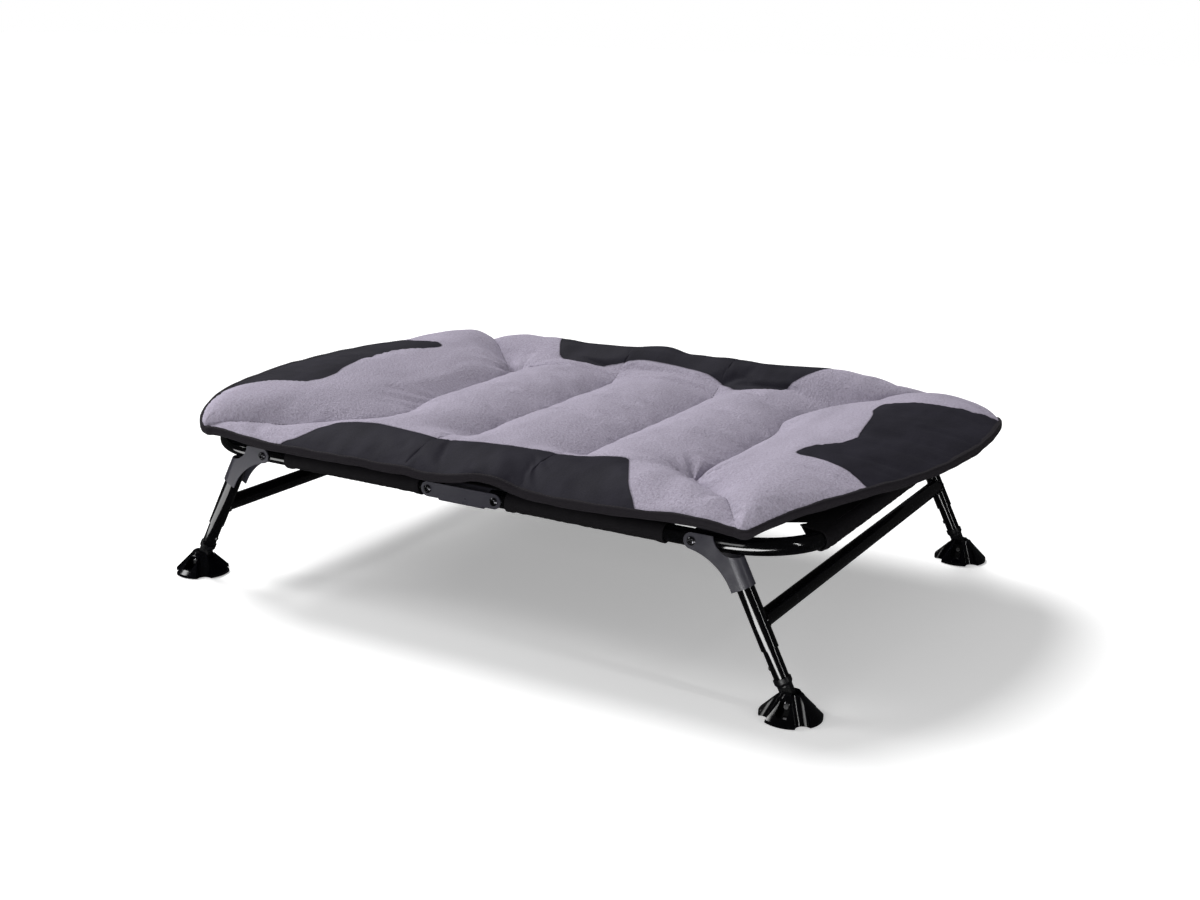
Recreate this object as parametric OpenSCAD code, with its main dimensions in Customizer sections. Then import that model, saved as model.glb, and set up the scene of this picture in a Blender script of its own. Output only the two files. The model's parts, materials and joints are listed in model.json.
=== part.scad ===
// Raised folding dog cot: two U-shaped rails on centre hinge links, folding telescopic legs with swivel
// feet, a base sheet sleeved on the rails and a padded mattress with sewn channels.
// Millimetres, +X along the cot, -Y towards its front, +Z up, origin on the floor under the middle.

/* [Rails] */
// Diameter of the rail, outer leg and crossbar tubes
tube_d = 22; // [18:0.5:26]
// Wall of the rail tubes
rail_wall = 1.5; // [1:0.1:2.5]
// Distance between the centre lines of the two end rails
frame_len = 920; // [820:10:1100]
// Distance between the centre lines of the two side rails
frame_wid = 670; // [560:10:800]
// Height of the rail centre line above the floor
rail_z = 197; // [180:1:230]
// Centre line radius of the rail corners
bend_r = 100; // [70:5:110]

/* [Centre hinge] */
// Distance between the two bolts of a hinge link
hinge_pitch = 102; // [84:1:120]
// Height of a hinge link's cheek at the bolts
link_h = 20; // [16:1:21]
// Thickness of the stamped plates
plate_t = 2; // [1.5:0.1:3]
// Length of the web that joins the cheeks under the rails
link_web_len = 68; // [40:1:70]
// How far a rail end reaches past its hinge bolt
rail_tail = 11; // [8:0.5:12]
// Lip of the nylon plug on the rail end
plug_lip = 1.5; // [1:0.5:3]
// Length of the nylon plug inside the rail
rail_plug_len = 28; // [20:1:40]

/* [Bolts] */
// Shank diameter of the hinge and leg bolts
bolt_d = 8; // [6:0.5:8]
// Diameter of the bolt heads
bolt_head_d = 11; // [10:0.5:14]
// Height of the bolt heads
bolt_head_h = 3.2; // [2:0.1:5]
// Width of the nuts across their corners
nut_d = 13; // [12:0.5:16]
// Height of the nuts
nut_h = 5; // [3:0.5:7]

/* [Leg bracket] */
// Distance of the leg pivots inboard of the rail bends
pivot_back = 30; // [26:1:60]
// Radius of the bracket's ear round the pivot
ear_r = 10.5; // [9:0.5:11]
// Length of the bracket's straight top edge
ear_top = 27.5; // [24:0.5:34]
// Radius of the concave inner edge of the bracket
bracket_curve_r = 77; // [60:1:100]
// Radius of the edge that follows the rail
rail_edge_r = 25; // [20:0.5:30]
// Distance along the leg from the pivot to the bracket's lower end
bracket_end = 74; // [66:1:80]
// Depth of the bracket's lower end inboard of the leg axis
bracket_lip = 13; // [11:0.5:16]
// Length of the flat on the bracket's lower end
bracket_tip = 4; // [2:0.5:6]

/* [Legs] */
// Angle of the legs from upright
splay = 27; // [20:1:32]
// Distance of the leg axis outboard of its pivot
leg_offset = 37; // [34:0.5:44]
// Wall of the outer leg and crossbar tubes
leg_wall = 1.2; // [1:0.1:1.5]
// Distance along the leg from the pivot to the top of the outer leg
outer_top = 40; // [38:1:46]
// Distance along the leg from the pivot to the lower end of the outer leg
outer_end = 152; // [148:1:160]
// Distance along the leg from the pivot to the crossbar
crossbar_at = 118; // [112:1:122]
// Wall of the inner leg tubes
inner_wall = 1.5; // [1:0.1:2]
// Distance along the leg from the pivot to the top of the inner leg
inner_top = 64; // [58:1:72]

/* [Leg lock] */
// Diameter of the snap button
button_d = 6; // [5:0.5:7]
// Distance along the leg from the pivot to the snap button
button_at = 90; // [86:1:96]
// Distance between the two height settings
lock_pitch = 50; // [48:1:54]
// How far the snap button stands out of the outer leg
button_out = 2; // [1.5:0.1:3]
// Thickness of the leaf spring behind the button
leaf_t = 0.8; // [0.6:0.1:1]
// Width of the leaf spring
leaf_w = 6; // [4:0.5:7]
// Length of the leaf spring's arm behind the button
leaf_arm = 16; // [12:1:20]
// Thickness of the button's flange
flange_t = 2; // [1.5:0.1:2.5]

/* [Leg plug] */
// Length of the plug inside the inner leg
plug_insert = 26; // [20:1:32]
// Diameter of the collar
collar_d = 22.5; // [20:0.5:25]
// Height of the collar
collar_h = 9; // [7:0.5:12]
// Width of the tongue that carries the foot
tongue_w = 16; // [14:0.5:17]
// Thickness of the tongue
tongue_t = 10; // [8:0.5:11]
// Distance from the foot pin up to the collar
neck_len = 22; // [21:0.5:28]
// Distance from the collar up to the plug rivet
rivet_up = 14; // [10:0.5:18]
// Shank diameter of the plug rivet
rivet_d = 4; // [3:0.5:5]

/* [Foot] */
// Diameter of the foot
foot_d = 77; // [68:1:84]
// Height of the foot
foot_h = 31; // [28:0.5:34]
// Height of the foot's rim
foot_rim_h = 4; // [3:0.5:6]
// Diameter of the hub on top of the foot
hub_d = 32; // [29:1:36]
// Width of the bevel round the hub's top
hub_bevel = 3; // [2:0.5:4]
// Height of the bevel round the hub's top
hub_bevel_h = 4; // [3:0.5:5]
// Width of the flat rim under the foot
sole_rim = 5; // [4:0.5:7]
// Thickness left between the hollow sole and the tongue's slot
sole_roof = 3.5; // [3:0.5:5]
// Height of the foot pin above the floor
foot_pin_h = 18; // [17:0.5:19]
// Diameter of the foot pin
foot_pin_d = 6; // [5:0.5:7]
// Number of flutes that part the foot's skirt into lobes
flutes = 4; // [4:1:8]
// Radius of a flute
flute_r = 11; // [9:0.5:13]
// Depth of a flute at the rim
flute_depth = 6.5; // [4:0.5:8]
// How far the foot swivels to each side, in degrees
foot_swing = 25; // [10:1:28]

/* [Base sheet] */
// Thickness of the base sheet
sheet_t = 1.2; // [0.8:0.1:2]
// Distance from a hinge bolt to the side sleeve
sleeve_start = 16; // [15:1:30]
// Distance from a leg pivot back to the side sleeve
sleeve_stop = 39; // [30:1:60]
// Distance from the rail bends back to the end sleeve
end_sleeve_back = 10; // [5:1:40]

/* [Mattress] */
// How far the mattress reaches past the end rails
end_overhang = 76; // [50:1:110]
// How far the mattress reaches past the side rails
side_overhang = 18; // [8:1:30]
// Distance from a hinge bolt to the straight seam
seam_past_hinge = 38; // [28:1:44]
// Distance from an end rail back to the pillow seam between its tufts
pillow_len = 203; // [180:1:230]
// Distance from a side rail in to the tufts of the pillow seams
tuft_in = 148; // [115:1:185]
// Distance from the other side rail in to the rounded turn of the pillow seams
turn_in = 110; // [80:1:140]
// Distance from an end rail back to where the pillow seams reach the corners
corner_back = 52; // [40:1:80]
// Rise of the padding of the three pads above the binding
crown_h = 30; // [24:1:34]
// Rise of the padding of the two pillows above the binding
pillow_h = 35; // [28:1:42]
// Rise of the padding left in the seams
valley_h = 11; // [8:1:18]
// How far the sewn tufts sink below the seams
tuft_depth = 7; // [0:0.5:9]
// How far the rear side is stuffed up above the front one
rear_rise = 29; // [0:1:30]
// Thickness of the bound edge
edge_t = 8; // [5:0.5:12]
// How far the bound edge rises at the two ends
end_rise = 25; // [0:1:30]
// How far the sides draw in at a seam
draw_in = 3; // [0:0.5:8]
// How far the ends bulge out past the rounded corners
end_bulge = 60; // [30:5:90]
// How far the ends bulge out past the pointed corners, where the seams from the tufts end
point_bulge = 92; // [60:1:110]
// How far the rounded corners are rounded back
corner_round = 50; // [20:5:70]

/* [Clearances] */
// Radial clearance of pins and bolts in the bores that turn on them
run_fit = 0.05; // [0.02:0.01:0.1]
// Clearance of the stamped plates beside the tubes
side_gap = 0.3; // [0.2:0.05:0.5]
// Radial clearance of the inner leg in the outer leg
slide_gap = 0.3; // [0.2:0.05:0.4]
// Clearance between fixed pieces that seat on each other
seat_gap = 0.1; // [0.05:0.05:0.2]
// Clearance of the bracket under the rail at its stop
stop_gap = 0.5; // [0.3:0.1:1]
// Clearance under the bolt heads that a bracket turns against
head_gap = 0.2; // [0.1:0.05:0.4]
// Clearance round the foot's tongue and the snap button
loose_gap = 0.4; // [0.3:0.05:0.6]

/* [Hidden] */
$fn = 64;

SIDES = [["left", 1], ["right", 0]];
CORNERS = [
    ["front_left", 1, 0],
    ["rear_left", 1, 1],
    ["front_right", 0, 0],
    ["rear_right", 0, 1]
];
CENTRE_NODES = ["hinge_link_front", "hinge_link_rear", "hinge_bolts", "mattress_middle", "base_sheet_middle"];
SIDE_NODES = ["rail", "rail_plugs", "leg_bolts", "base_sheet", "sleeves", "mattress", "crossbar"];
CORNER_NODES = [
    "leg_bracket", "outer_leg", "inner_leg", "leg_plug", "plug_rivet", "snap_button", "lock_spring",
    "foot_pin", "foot"
];

GLOSS_BLACK = [0.04, 0.04, 0.05];
SATIN_GREY = [0.2, 0.2, 0.22];
STEEL = [0.75, 0.75, 0.77];
PLASTIC = [0.06, 0.06, 0.07];
CLOTH_BLACK = [0.07, 0.07, 0.08];
FLEECE = [0.55, 0.53, 0.58];

tube_r = tube_d / 2;
half_l = frame_len / 2;
half_w = frame_wid / 2;
hinge_x = hinge_pitch / 2;
pivot_x = half_l - bend_r - pivot_back;
bolt_r = bolt_d / 2;
plate_in = tube_r + side_gap;
plate_out = plate_in + plate_t;
cut = 1;

// Distances along the leg, measured from the pivot
pin_at = (rail_z + leg_offset * sin(splay) - foot_pin_h) / cos(splay);
collar_end = pin_at - neck_len;
collar_top = collar_end - collar_h;
rivet_at = collar_top - rivet_up;
foot_x = pivot_x + leg_offset * cos(splay) + pin_at * sin(splay);
inner_r = tube_r - leg_wall - slide_gap;
inner_bore_r = inner_r - inner_wall;

// The snap button's flange and where it rests inside the inner leg
flange_r = button_d * 0.75;
flange_out = sqrt(inner_bore_r * inner_bore_r - flange_r * flange_r) - side_gap;

// A point in the leg's side view, along the leg and out from the pivot
function leg_pt(along, out = leg_offset) = [
    out * cos(splay) + along * sin(splay),
    out * sin(splay) - along * cos(splay)
];

// Centre of an arc of radius r from a to b that bulges to the left of the way from a to b
function arc_centre(a, b, r) =
    let (d = b - a, half = norm(d) / 2, n = [d[1], -d[0]] / norm(d))
    (a + b) / 2 + n * sqrt(r * r - half * half);

// Where the sleeves end along the rails
sleeve_from = hinge_x + sleeve_start;
sleeve_to = pivot_x - sleeve_stop;
end_sleeve_y = half_w - bend_r - end_sleeve_back;

// Heights of the fabric layers
sleeve_r = tube_r + side_gap + sheet_t;
sheet_z = rail_z + sleeve_r + seat_gap;
mattress_z = sheet_z + sheet_t + side_gap;

// Placing

// Moves a piece of the front right corner to another corner
module corner(c) {
    mirror([c[1], 0, 0]) mirror([0, c[2], 0]) children();
}

// Moves a piece of the right side to the left
module side(s) {
    mirror([s[1], 0, 0]) children();
}

// Doubles a piece of the front on the rear
module front_and_rear() {
    children();
    mirror([0, 1, 0]) children();
}

// The front right pivot, with X and Z as in the cot
module at_pivot() {
    translate([pivot_x, -half_w, rail_z]) children();
}

// The front right leg: its axis is Z, and Z = -distance along the leg
module on_leg() {
    at_pivot() rotate([0, -splay, 0]) translate([leg_offset, 0, 0]) children();
}

// A side view outline drawn through the whole of a thickness w
module side_plate(w) {
    rotate([90, 0, 0]) translate([0, 0, -w / 2]) linear_extrude(w) children();
}

// Basic shapes

module ring(r, wall, h) {
    difference() {
        cylinder(r = r, h = h);
        translate([0, 0, -cut]) cylinder(r = r - wall, h = h + 2 * cut);
    }
}

// A bore along Y through the point that it is drawn at
module cross_bore(r, w) {
    rotate([90, 0, 0]) cylinder(r = r, h = w, center = true);
}

module round_rect(w, h, r) {
    square([w - 2 * r, h], center = true);
    square([w, h - 2 * r], center = true);
    for (x = [-1, 1])
        for (y = [-1, 1])
            translate([x * (w / 2 - r), y * (h / 2 - r)]) circle(r = r);
}

// Button head bolt along Y with its head at the front and its nut behind, drawn round its grip's middle
module bolt(grip) {
    socket_d = bolt_head_d * 0.45;
    socket_depth = bolt_head_h * 0.6;
    rotate([90, 0, 0]) {
        difference() {
            translate([0, 0, grip / 2]) rotate_extrude() polygon([
                [0, 0], [bolt_head_d / 2, 0], [bolt_head_d / 2, bolt_head_h * 0.4],
                [bolt_head_d * 0.36, bolt_head_h * 0.85], [bolt_head_d * 0.28, bolt_head_h], [0, bolt_head_h]
            ]);
            translate([0, 0, grip / 2 + bolt_head_h - socket_depth])
                cylinder(d = socket_d, h = socket_depth + cut, $fn = 6);
        }
        translate([0, 0, -grip / 2 - nut_h]) cylinder(r = bolt_r, h = grip + nut_h);
        translate([0, 0, -grip / 2 - nut_h]) cylinder(d = nut_d, h = nut_h, $fn = 6);
    }
}

// Rails

module rail() {
    tail_x = hinge_x - rail_tail + plug_lip;
    color(GLOSS_BLACK) difference() {
        union() {
            front_and_rear() {
                translate([tail_x, -half_w, rail_z]) rotate([0, 90, 0])
                    ring(tube_r, rail_wall, half_l - bend_r - tail_x);
                translate([half_l - bend_r, bend_r - half_w, rail_z]) rotate([0, 0, -90])
                    rotate_extrude(angle = 90) translate([bend_r, 0]) difference() {
                        circle(r = tube_r);
                        circle(r = tube_r - rail_wall);
                    }
            }
            translate([half_l, bend_r - half_w, rail_z]) rotate([-90, 0, 0])
                ring(tube_r, rail_wall, 2 * (half_w - bend_r));
        }
        front_and_rear() {
            translate([hinge_x, -half_w, rail_z]) cross_bore(bolt_r + run_fit, tube_d + cut);
            at_pivot() cross_bore(bolt_r + run_fit, tube_d + cut);
        }
    }
}

// Nylon plugs in the rail ends, bored for the hinge bolts
module rail_plugs() {
    color(PLASTIC) front_and_rear() difference() {
        translate([hinge_x - rail_tail, -half_w, rail_z]) rotate([0, 90, 0]) {
            cylinder(r = tube_r, h = plug_lip);
            cylinder(r = tube_r - rail_wall - seat_gap, h = rail_plug_len);
        }
        translate([hinge_x, -half_w, rail_z]) cross_bore(bolt_r + run_fit, tube_d + cut);
    }
}

// Centre hinge

// Stamped channel, open at the top, whose web joins the cheeks between the bolts
module hinge_link() {
    web_bottom = -plate_out;
    color(SATIN_GREY) translate([0, -half_w, rail_z]) difference() {
        intersection() {
            side_plate(2 * plate_out) union() {
                for (x = [-hinge_x, hinge_x])
                    translate([x, 0]) circle(d = link_h);
                square([hinge_pitch, link_h], center = true);
                translate([-link_web_len / 2, web_bottom]) square([link_web_len, -web_bottom]);
            }
            rotate([90, 0, 90]) linear_extrude(hinge_pitch + 2 * link_h, center = true) difference() {
                round_rect(2 * plate_out, 2 * plate_out, 2 * plate_t);
                round_rect(2 * plate_in, 2 * plate_in, plate_t);
                translate([-plate_in, 0]) square([2 * plate_in, plate_out + cut]);
            }
        }
        for (x = [-hinge_x, hinge_x])
            translate([x, 0, 0]) cross_bore(bolt_r + run_fit, 2 * plate_out + cut);
    }
}

module hinge_bolts() {
    color(STEEL) front_and_rear()
        for (x = [-hinge_x, hinge_x])
            translate([x, -half_w, rail_z]) bolt(2 * plate_out);
}

// Legs

// Body of a bracket, w wide: ear round the pivot, curved inner edge, edge that follows the rail, lower end
module bracket_body(w) {
    tip = leg_pt(bracket_end, leg_offset - bracket_lip);
    under_rail = -tube_r - stop_gap;
    edge_z = under_rail + rail_edge_r - seat_gap;
    edge_x = ear_top + sqrt(rail_edge_r * rail_edge_r - (edge_z - ear_r) * (edge_z - ear_r));
    wrap_out = leg_offset + plate_out + cut;
    curve_end = leg_pt(bracket_end - bracket_tip, leg_offset - bracket_lip);
    inner_centre = arc_centre([0, -ear_r], curve_end, bracket_curve_r);
    difference() {
        union() {
            side_plate(w) circle(r = ear_r);
            side_plate(w) polygon([
                [0, ear_r], [edge_x, ear_r], [edge_x, under_rail], [edge_x + 2 * tube_d, under_rail],
                leg_pt(bracket_end, wrap_out), tip, [0, tip[1]]
            ]);
        }
        translate([inner_centre[0], 0, inner_centre[1]]) cross_bore(bracket_curve_r, 2 * w);
        translate([edge_x, 0, edge_z]) cross_bore(rail_edge_r, 2 * w);
    }
}

// Stamped channel that wraps the leg's outboard side and straddles the rail
module leg_bracket() {
    reach = bracket_end + ear_top;
    color(SATIN_GREY) difference() {
        intersection() {
            at_pivot() bracket_body(2 * plate_out + cut);
            on_leg() translate([0, 0, -bracket_end - tube_d])
                linear_extrude(bracket_end + 4 * tube_d) difference() {
                    union() {
                        circle(r = plate_out);
                        translate([-reach, -plate_out]) square([reach, 2 * plate_out]);
                    }
                    circle(r = plate_in);
                    translate([-reach - cut, -plate_in]) square([reach + cut, 2 * plate_in]);
                }
        }
        at_pivot() cross_bore(bolt_r + run_fit, 2 * plate_out + cut);
    }
}

module leg_bolts() {
    color(STEEL) front_and_rear() at_pivot() bolt(2 * (plate_out + head_gap));
}

// Outer leg with its two lock holes on the side that faces the other leg
module outer_leg() {
    color(GLOSS_BLACK) on_leg() difference() {
        translate([0, 0, -outer_end]) ring(tube_r, leg_wall, outer_end - outer_top);
        for (at = [button_at, button_at + lock_pitch])
            translate([0, 0, -at]) rotate([-90, 0, 0])
                cylinder(r = button_d / 2 + loose_gap, h = tube_d);
    }
}

// Crossbar between the two legs of one end, coped to fit round them
module crossbar() {
    bar = leg_pt(crossbar_at);
    color(GLOSS_BLACK) difference() {
        translate([pivot_x + bar[0], -half_w, rail_z + bar[1]]) rotate([-90, 0, 0])
            ring(tube_r, leg_wall, frame_wid);
        front_and_rear() on_leg() translate([0, 0, -outer_end])
            cylinder(r = tube_r + seat_gap, h = outer_end - outer_top);
    }
}

module inner_leg() {
    color(GLOSS_BLACK) on_leg() difference() {
        translate([0, 0, -collar_top]) ring(inner_r, inner_wall, collar_top - inner_top);
        translate([0, 0, -button_at]) rotate([-90, 0, 0])
            cylinder(r = button_d / 2 + run_fit, h = tube_d);
        translate([0, 0, -rivet_at]) rotate([0, -90, 0]) cylinder(r = rivet_d / 2 + seat_gap, h = tube_d);
    }
}

// Plug in the inner leg's foot: insert, collar and a flat tongue that carries the foot pin
module leg_plug() {
    round_neck = neck_len - 1.25 * tongue_w;
    color(PLASTIC) on_leg() difference() {
        union() {
            translate([0, 0, -collar_top]) cylinder(r = inner_bore_r - seat_gap, h = plug_insert);
            translate([0, 0, -collar_end]) rotate_extrude() polygon([
                [0, 0], [collar_d * 0.42, 0], [collar_d / 2, collar_h * 0.35],
                [collar_d / 2, collar_h], [0, collar_h]
            ]);
            translate([0, 0, -collar_end - round_neck]) cylinder(d = tongue_w, h = round_neck + cut);
            translate([0, 0, -pin_at]) side_plate(tongue_t) {
                circle(d = tongue_w);
                translate([-tongue_w / 2, 0]) square([tongue_w, neck_len]);
            }
        }
        translate([0, 0, -pin_at]) cross_bore(foot_pin_d / 2 + run_fit, tongue_w);
        translate([0, 0, -rivet_at]) rotate([0, -90, 0]) cylinder(r = rivet_d / 2 + seat_gap, h = tube_d);
    }
}

// Dome head rivet that holds the plug, on the leg's inboard side
module plug_rivet() {
    head_h = rivet_d * 0.5;
    head_at = inner_r + seat_gap;
    color(STEEL) on_leg() translate([0, 0, -rivet_at]) rotate([0, -90, 0]) rotate_extrude() polygon([
        [0, 0], [rivet_d / 2, 0], [rivet_d / 2, head_at], [rivet_d * 0.85, head_at],
        [rivet_d * 0.65, head_at + head_h * 0.7], [0, head_at + head_h]
    ]);
}

// Leg lock

// Snap button through the inner and the outer leg, with a flange inside the inner leg
module snap_button() {
    tip_y = tube_r + button_out;
    round_h = button_d * 0.15;
    color(STEEL) on_leg() translate([0, 0, -button_at]) rotate([-90, 0, 0]) rotate_extrude() polygon([
        [0, flange_out - flange_t], [flange_r, flange_out - flange_t], [flange_r, flange_out],
        [button_d / 2, flange_out], [button_d / 2, tip_y - round_h], [button_d * 0.35, tip_y], [0, tip_y]
    ]);
}

// Bent leaf spring inside the inner leg: one arm behind the button, the other on the opposite wall
module lock_spring() {
    front_y = flange_out - flange_t - side_gap;
    back_y = -sqrt(inner_bore_r * inner_bore_r - leaf_w * leaf_w / 4) + side_gap;
    mid_y = (front_y + back_y) / 2 - leaf_t;
    bend_z = leaf_arm * 1.8;
    tail_z = -leaf_arm * 1.3;
    outline = [
        [front_y, -flange_r], [front_y, flange_r], [mid_y + leaf_t, bend_z], [mid_y, bend_z + leaf_t],
        [back_y, leaf_arm], [back_y, tail_z], [back_y + leaf_t, tail_z], [back_y + leaf_t, leaf_arm - leaf_t],
        [mid_y, bend_z - 2 * leaf_t], [front_y - leaf_t, flange_r], [front_y - leaf_t, -flange_r]
    ];
    color(STEEL) on_leg() translate([-leaf_w / 2, 0, -button_at])
        rotate([90, 0, 90]) linear_extrude(leaf_w) polygon(outline);
}

// Feet

module foot_pin() {
    head_d = foot_pin_d * 1.5;
    head_h = 2;
    half = (hub_d - hub_bevel) / 2;
    color(STEEL) translate([foot_x, -half_w, foot_pin_h]) rotate([90, 0, 0]) {
        translate([0, 0, -half]) cylinder(d = foot_pin_d, h = 2 * half);
        translate([0, 0, half]) cylinder(d1 = head_d, d2 = head_d * 0.7, h = head_h);
    }
}

// Fluted foot: a lobed cone with a rim, a slot for the tongue and pockets for the pin in the front and rear lobes
module foot() {
    foot_r = foot_d / 2;
    hub_r = hub_d / 2;
    shoulder = foot_h - hub_bevel_h;
    pocket_w = foot_pin_d * 2.5;
    pocket_h = foot_h * 0.55;
    pocket_face = hub_r - hub_bevel / 2;
    rim_axis = foot_r + flute_r - flute_depth;
    hub_axis = hub_r + flute_r - 1;
    lean = atan2(rim_axis - hub_axis, shoulder);
    sole_r = foot_r - flute_depth - sole_rim;
    sole_depth = foot_pin_h - tongue_w / 2 - sole_roof;
    color(PLASTIC) translate([foot_x, -half_w, 0]) difference() {
        rotate_extrude() polygon([
            [0, 0], [foot_r, 0], [foot_r, foot_rim_h], [hub_r, shoulder],
            [hub_r - hub_bevel, foot_h], [0, foot_h]
        ]);
        for (i = [0 : flutes - 1])
            rotate(-90 + (i + 0.5) * 360 / flutes) translate([rim_axis, 0, 0]) rotate([0, -lean, 0])
                cylinder(r = flute_r, h = 4 * foot_h, center = true);
        front_and_rear() translate([-pocket_w / 2, -foot_r, foot_pin_h - pocket_h / 2])
            cube([pocket_w, foot_r - pocket_face, pocket_h]);
        translate([0, 0, foot_pin_h]) {
            cross_bore(foot_pin_d / 2 + run_fit, foot_d);
            side_plate(tongue_t + 2 * loose_gap) {
                circle(r = tongue_w / 2 + 2 * loose_gap);
                for (a = [-foot_swing, 0, foot_swing])
                    rotate(splay + a) translate([-tongue_w / 2 - loose_gap, 0])
                        square([tongue_w + 2 * loose_gap, foot_d]);
            }
        }
        translate([0, 0, -cut]) cylinder(r1 = sole_r + cut, r2 = sole_r - sole_depth, h = sole_depth + cut);
    }
}

// Base sheet

// Sleeves sewn round the two side runs and the end run of a rail
module sleeves() {
    color(CLOTH_BLACK) {
        front_and_rear() translate([sleeve_from, -half_w, rail_z]) rotate([0, 90, 0])
            ring(sleeve_r, sheet_t, sleeve_to - sleeve_from);
        translate([half_l, -end_sleeve_y, rail_z]) rotate([-90, 0, 0])
            ring(sleeve_r, sheet_t, 2 * end_sleeve_y);
    }
}

// One half of the base sheet, with its corners cut off between the side and end sleeves
module base_sheet() {
    color(CLOTH_BLACK) translate([0, 0, sheet_z]) linear_extrude(sheet_t) polygon([
        [sleeve_from, -half_w], [sleeve_to, -half_w], [half_l, -end_sleeve_y],
        [half_l, end_sleeve_y], [sleeve_to, half_w], [sleeve_from, half_w]
    ]);
}

// Strip of the base sheet that bends over the centre hinge
module base_sheet_middle() {
    strip = 2 * (sleeve_from - side_gap);
    color(CLOTH_BLACK) translate([-strip / 2, -half_w, sheet_z]) cube([strip, frame_wid, sheet_t]);
}

// Mattress

mattress_hl = half_l + end_overhang;
mattress_hw = half_w + side_overhang;
seam_x = hinge_x + seam_past_hinge;
pillow_x = half_l - pillow_len;
tuft_y = half_w - tuft_in;
turn_y = half_w - turn_in;
corner_x = half_l - corner_back;
tuft_r = 30;
turn_r = 15;
roll_mid = -10;
roll_reach = 460;
roll_fade = 150;
roll_in = 118;
roll_w = 78;
pad_cells = 8;
width_cells = 30;

function mix(a, b, t) = a + (b - a) * t;
function smooth(t) = let (c = min(1, max(0, t))) c * c * (3 - 2 * c);

// Swell of a channel between two seams, from 0 at the seams to 1 between them
function swell(t) = pow(max(0, sin(180 * t)), 0.6);

// The swell left towards the long edges, at v from -1 to 1 across the width
function side_fall(v) = pow(max(0, 1 - pow(abs(v), 4)), 0.7);

// The share of the straight seams' depth that is left where the side panels cover them
function panel_fade(v) = 1 - 0.85 * smooth((abs(v) - 0.64) / 0.16);

// Outer end of the mattress at v across the width
function end_x(v) =
    v < 0
        ? mattress_hl - point_bulge * v * v
        : mattress_hl - end_bulge * v * v - corner_round * (1 - sqrt(max(0, 1 - pow(v, 8))));

// A straight run that starts in a rounded turn
function turned(t) = (t + sqrt(t * t + turn_r * turn_r)) / 2;

// The pillow seam: from its tuft straight to one corner, and in a rounded turn to the other
function pillow_seam(v) =
    let (
        y = v * mattress_hw,
        from_tuft = max(0, -y - tuft_y) / (half_w - tuft_y),
        from_turn = turned(y - turn_y) / (half_w - turn_y)
    )
    min(pillow_x + (corner_x - pillow_x) * (from_tuft + from_turn), end_x(v) - edge_t);

// Lift of the mattress's underside towards its overhanging ends
function lift(x, v) =
    end_rise * (1 - 0.75 * pow(abs(v), 3)) * pow(smooth((x - pillow_x) / (end_x(v) - pillow_x)), 2);

// The roll along the rear side; rear is 1 where v runs to the rear and -1 where it runs to the front
function rear_roll(x, v, s, rear) =
    rear_rise * mix(0.7, 1, swell(s)) * sqrt(max(0, 1 - pow(abs(v), 16)))
    * smooth((rear * v * mattress_hw - mattress_hw + roll_in) / roll_w)
    * smooth((roll_reach - abs(rear * x - roll_mid)) / roll_fade);

// The dimple at the tuft of the pillow seam
function tuft(x, v) =
    let (away = norm([x - pillow_x, v * mattress_hw + tuft_y])) tuft_depth * exp(-pow(away / tuft_r, 2));

// One point of a pad: s is its place between the seams, h its height above the underside
function pad_point(x, v, s, h) =
    [x, v * (mattress_hw - draw_in * (1 - swell(s))), mattress_z + lift(abs(x), v) + h];

// Heights of a pad and of the pillow above the underside
function pad_top(x, v, s, rear) =
    let (depth = (crown_h - valley_h) * mix(panel_fade(v), 1, smooth((abs(x) - seam_x) / (pillow_x - seam_x))))
    edge_t + side_fall(v) * (crown_h - depth * (1 - swell(s))) + rear_roll(x, v, s, rear) - tuft(x, v);
function pillow_top(x, v, s, rear) =
    let (
        outer = smooth(2 * s - 1),
        crown = mix(crown_h, pillow_h, smooth(2 * s)),
        depth = mix(crown_h - valley_h, crown, outer)
    )
    edge_t + side_fall(v) * (crown - depth * (1 - swell(s)))
    + rear_roll(x, v, s, rear) * (1 - outer) - tuft(x, v);

// Places across the width, closer together towards the long edges
WIDTHS = [for (j = [0 : width_cells]) let (t = 2 * j / width_cells - 1) 0.55 * sin(90 * t) + 0.45 * t];

// Rows of a half: the first pad up to the pillow seam, then the pillow
function half_row(i, rear, top) = [
    for (v = WIDTHS)
        let (
            seam = pillow_seam(v),
            pad = i <= pad_cells,
            s = pad ? i / pad_cells : i / pad_cells - 1,
            x = pad ? mix(seam_x + side_gap / 2, seam, s) : mix(seam, end_x(v), s)
        )
        pad_point(x, v, s, !top ? 0 : pad ? pad_top(x, v, s, rear) : pillow_top(x, v, s, rear))
];

// Rows of the middle pad between the two straight seams
function middle_row(i, top) = [
    for (v = WIDTHS)
        let (s = i / pad_cells, x = mix(side_gap / 2 - seam_x, seam_x - side_gap / 2, s))
        pad_point(x, v, s, top ? pad_top(x, v, s, 1) : 0)
];

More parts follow.
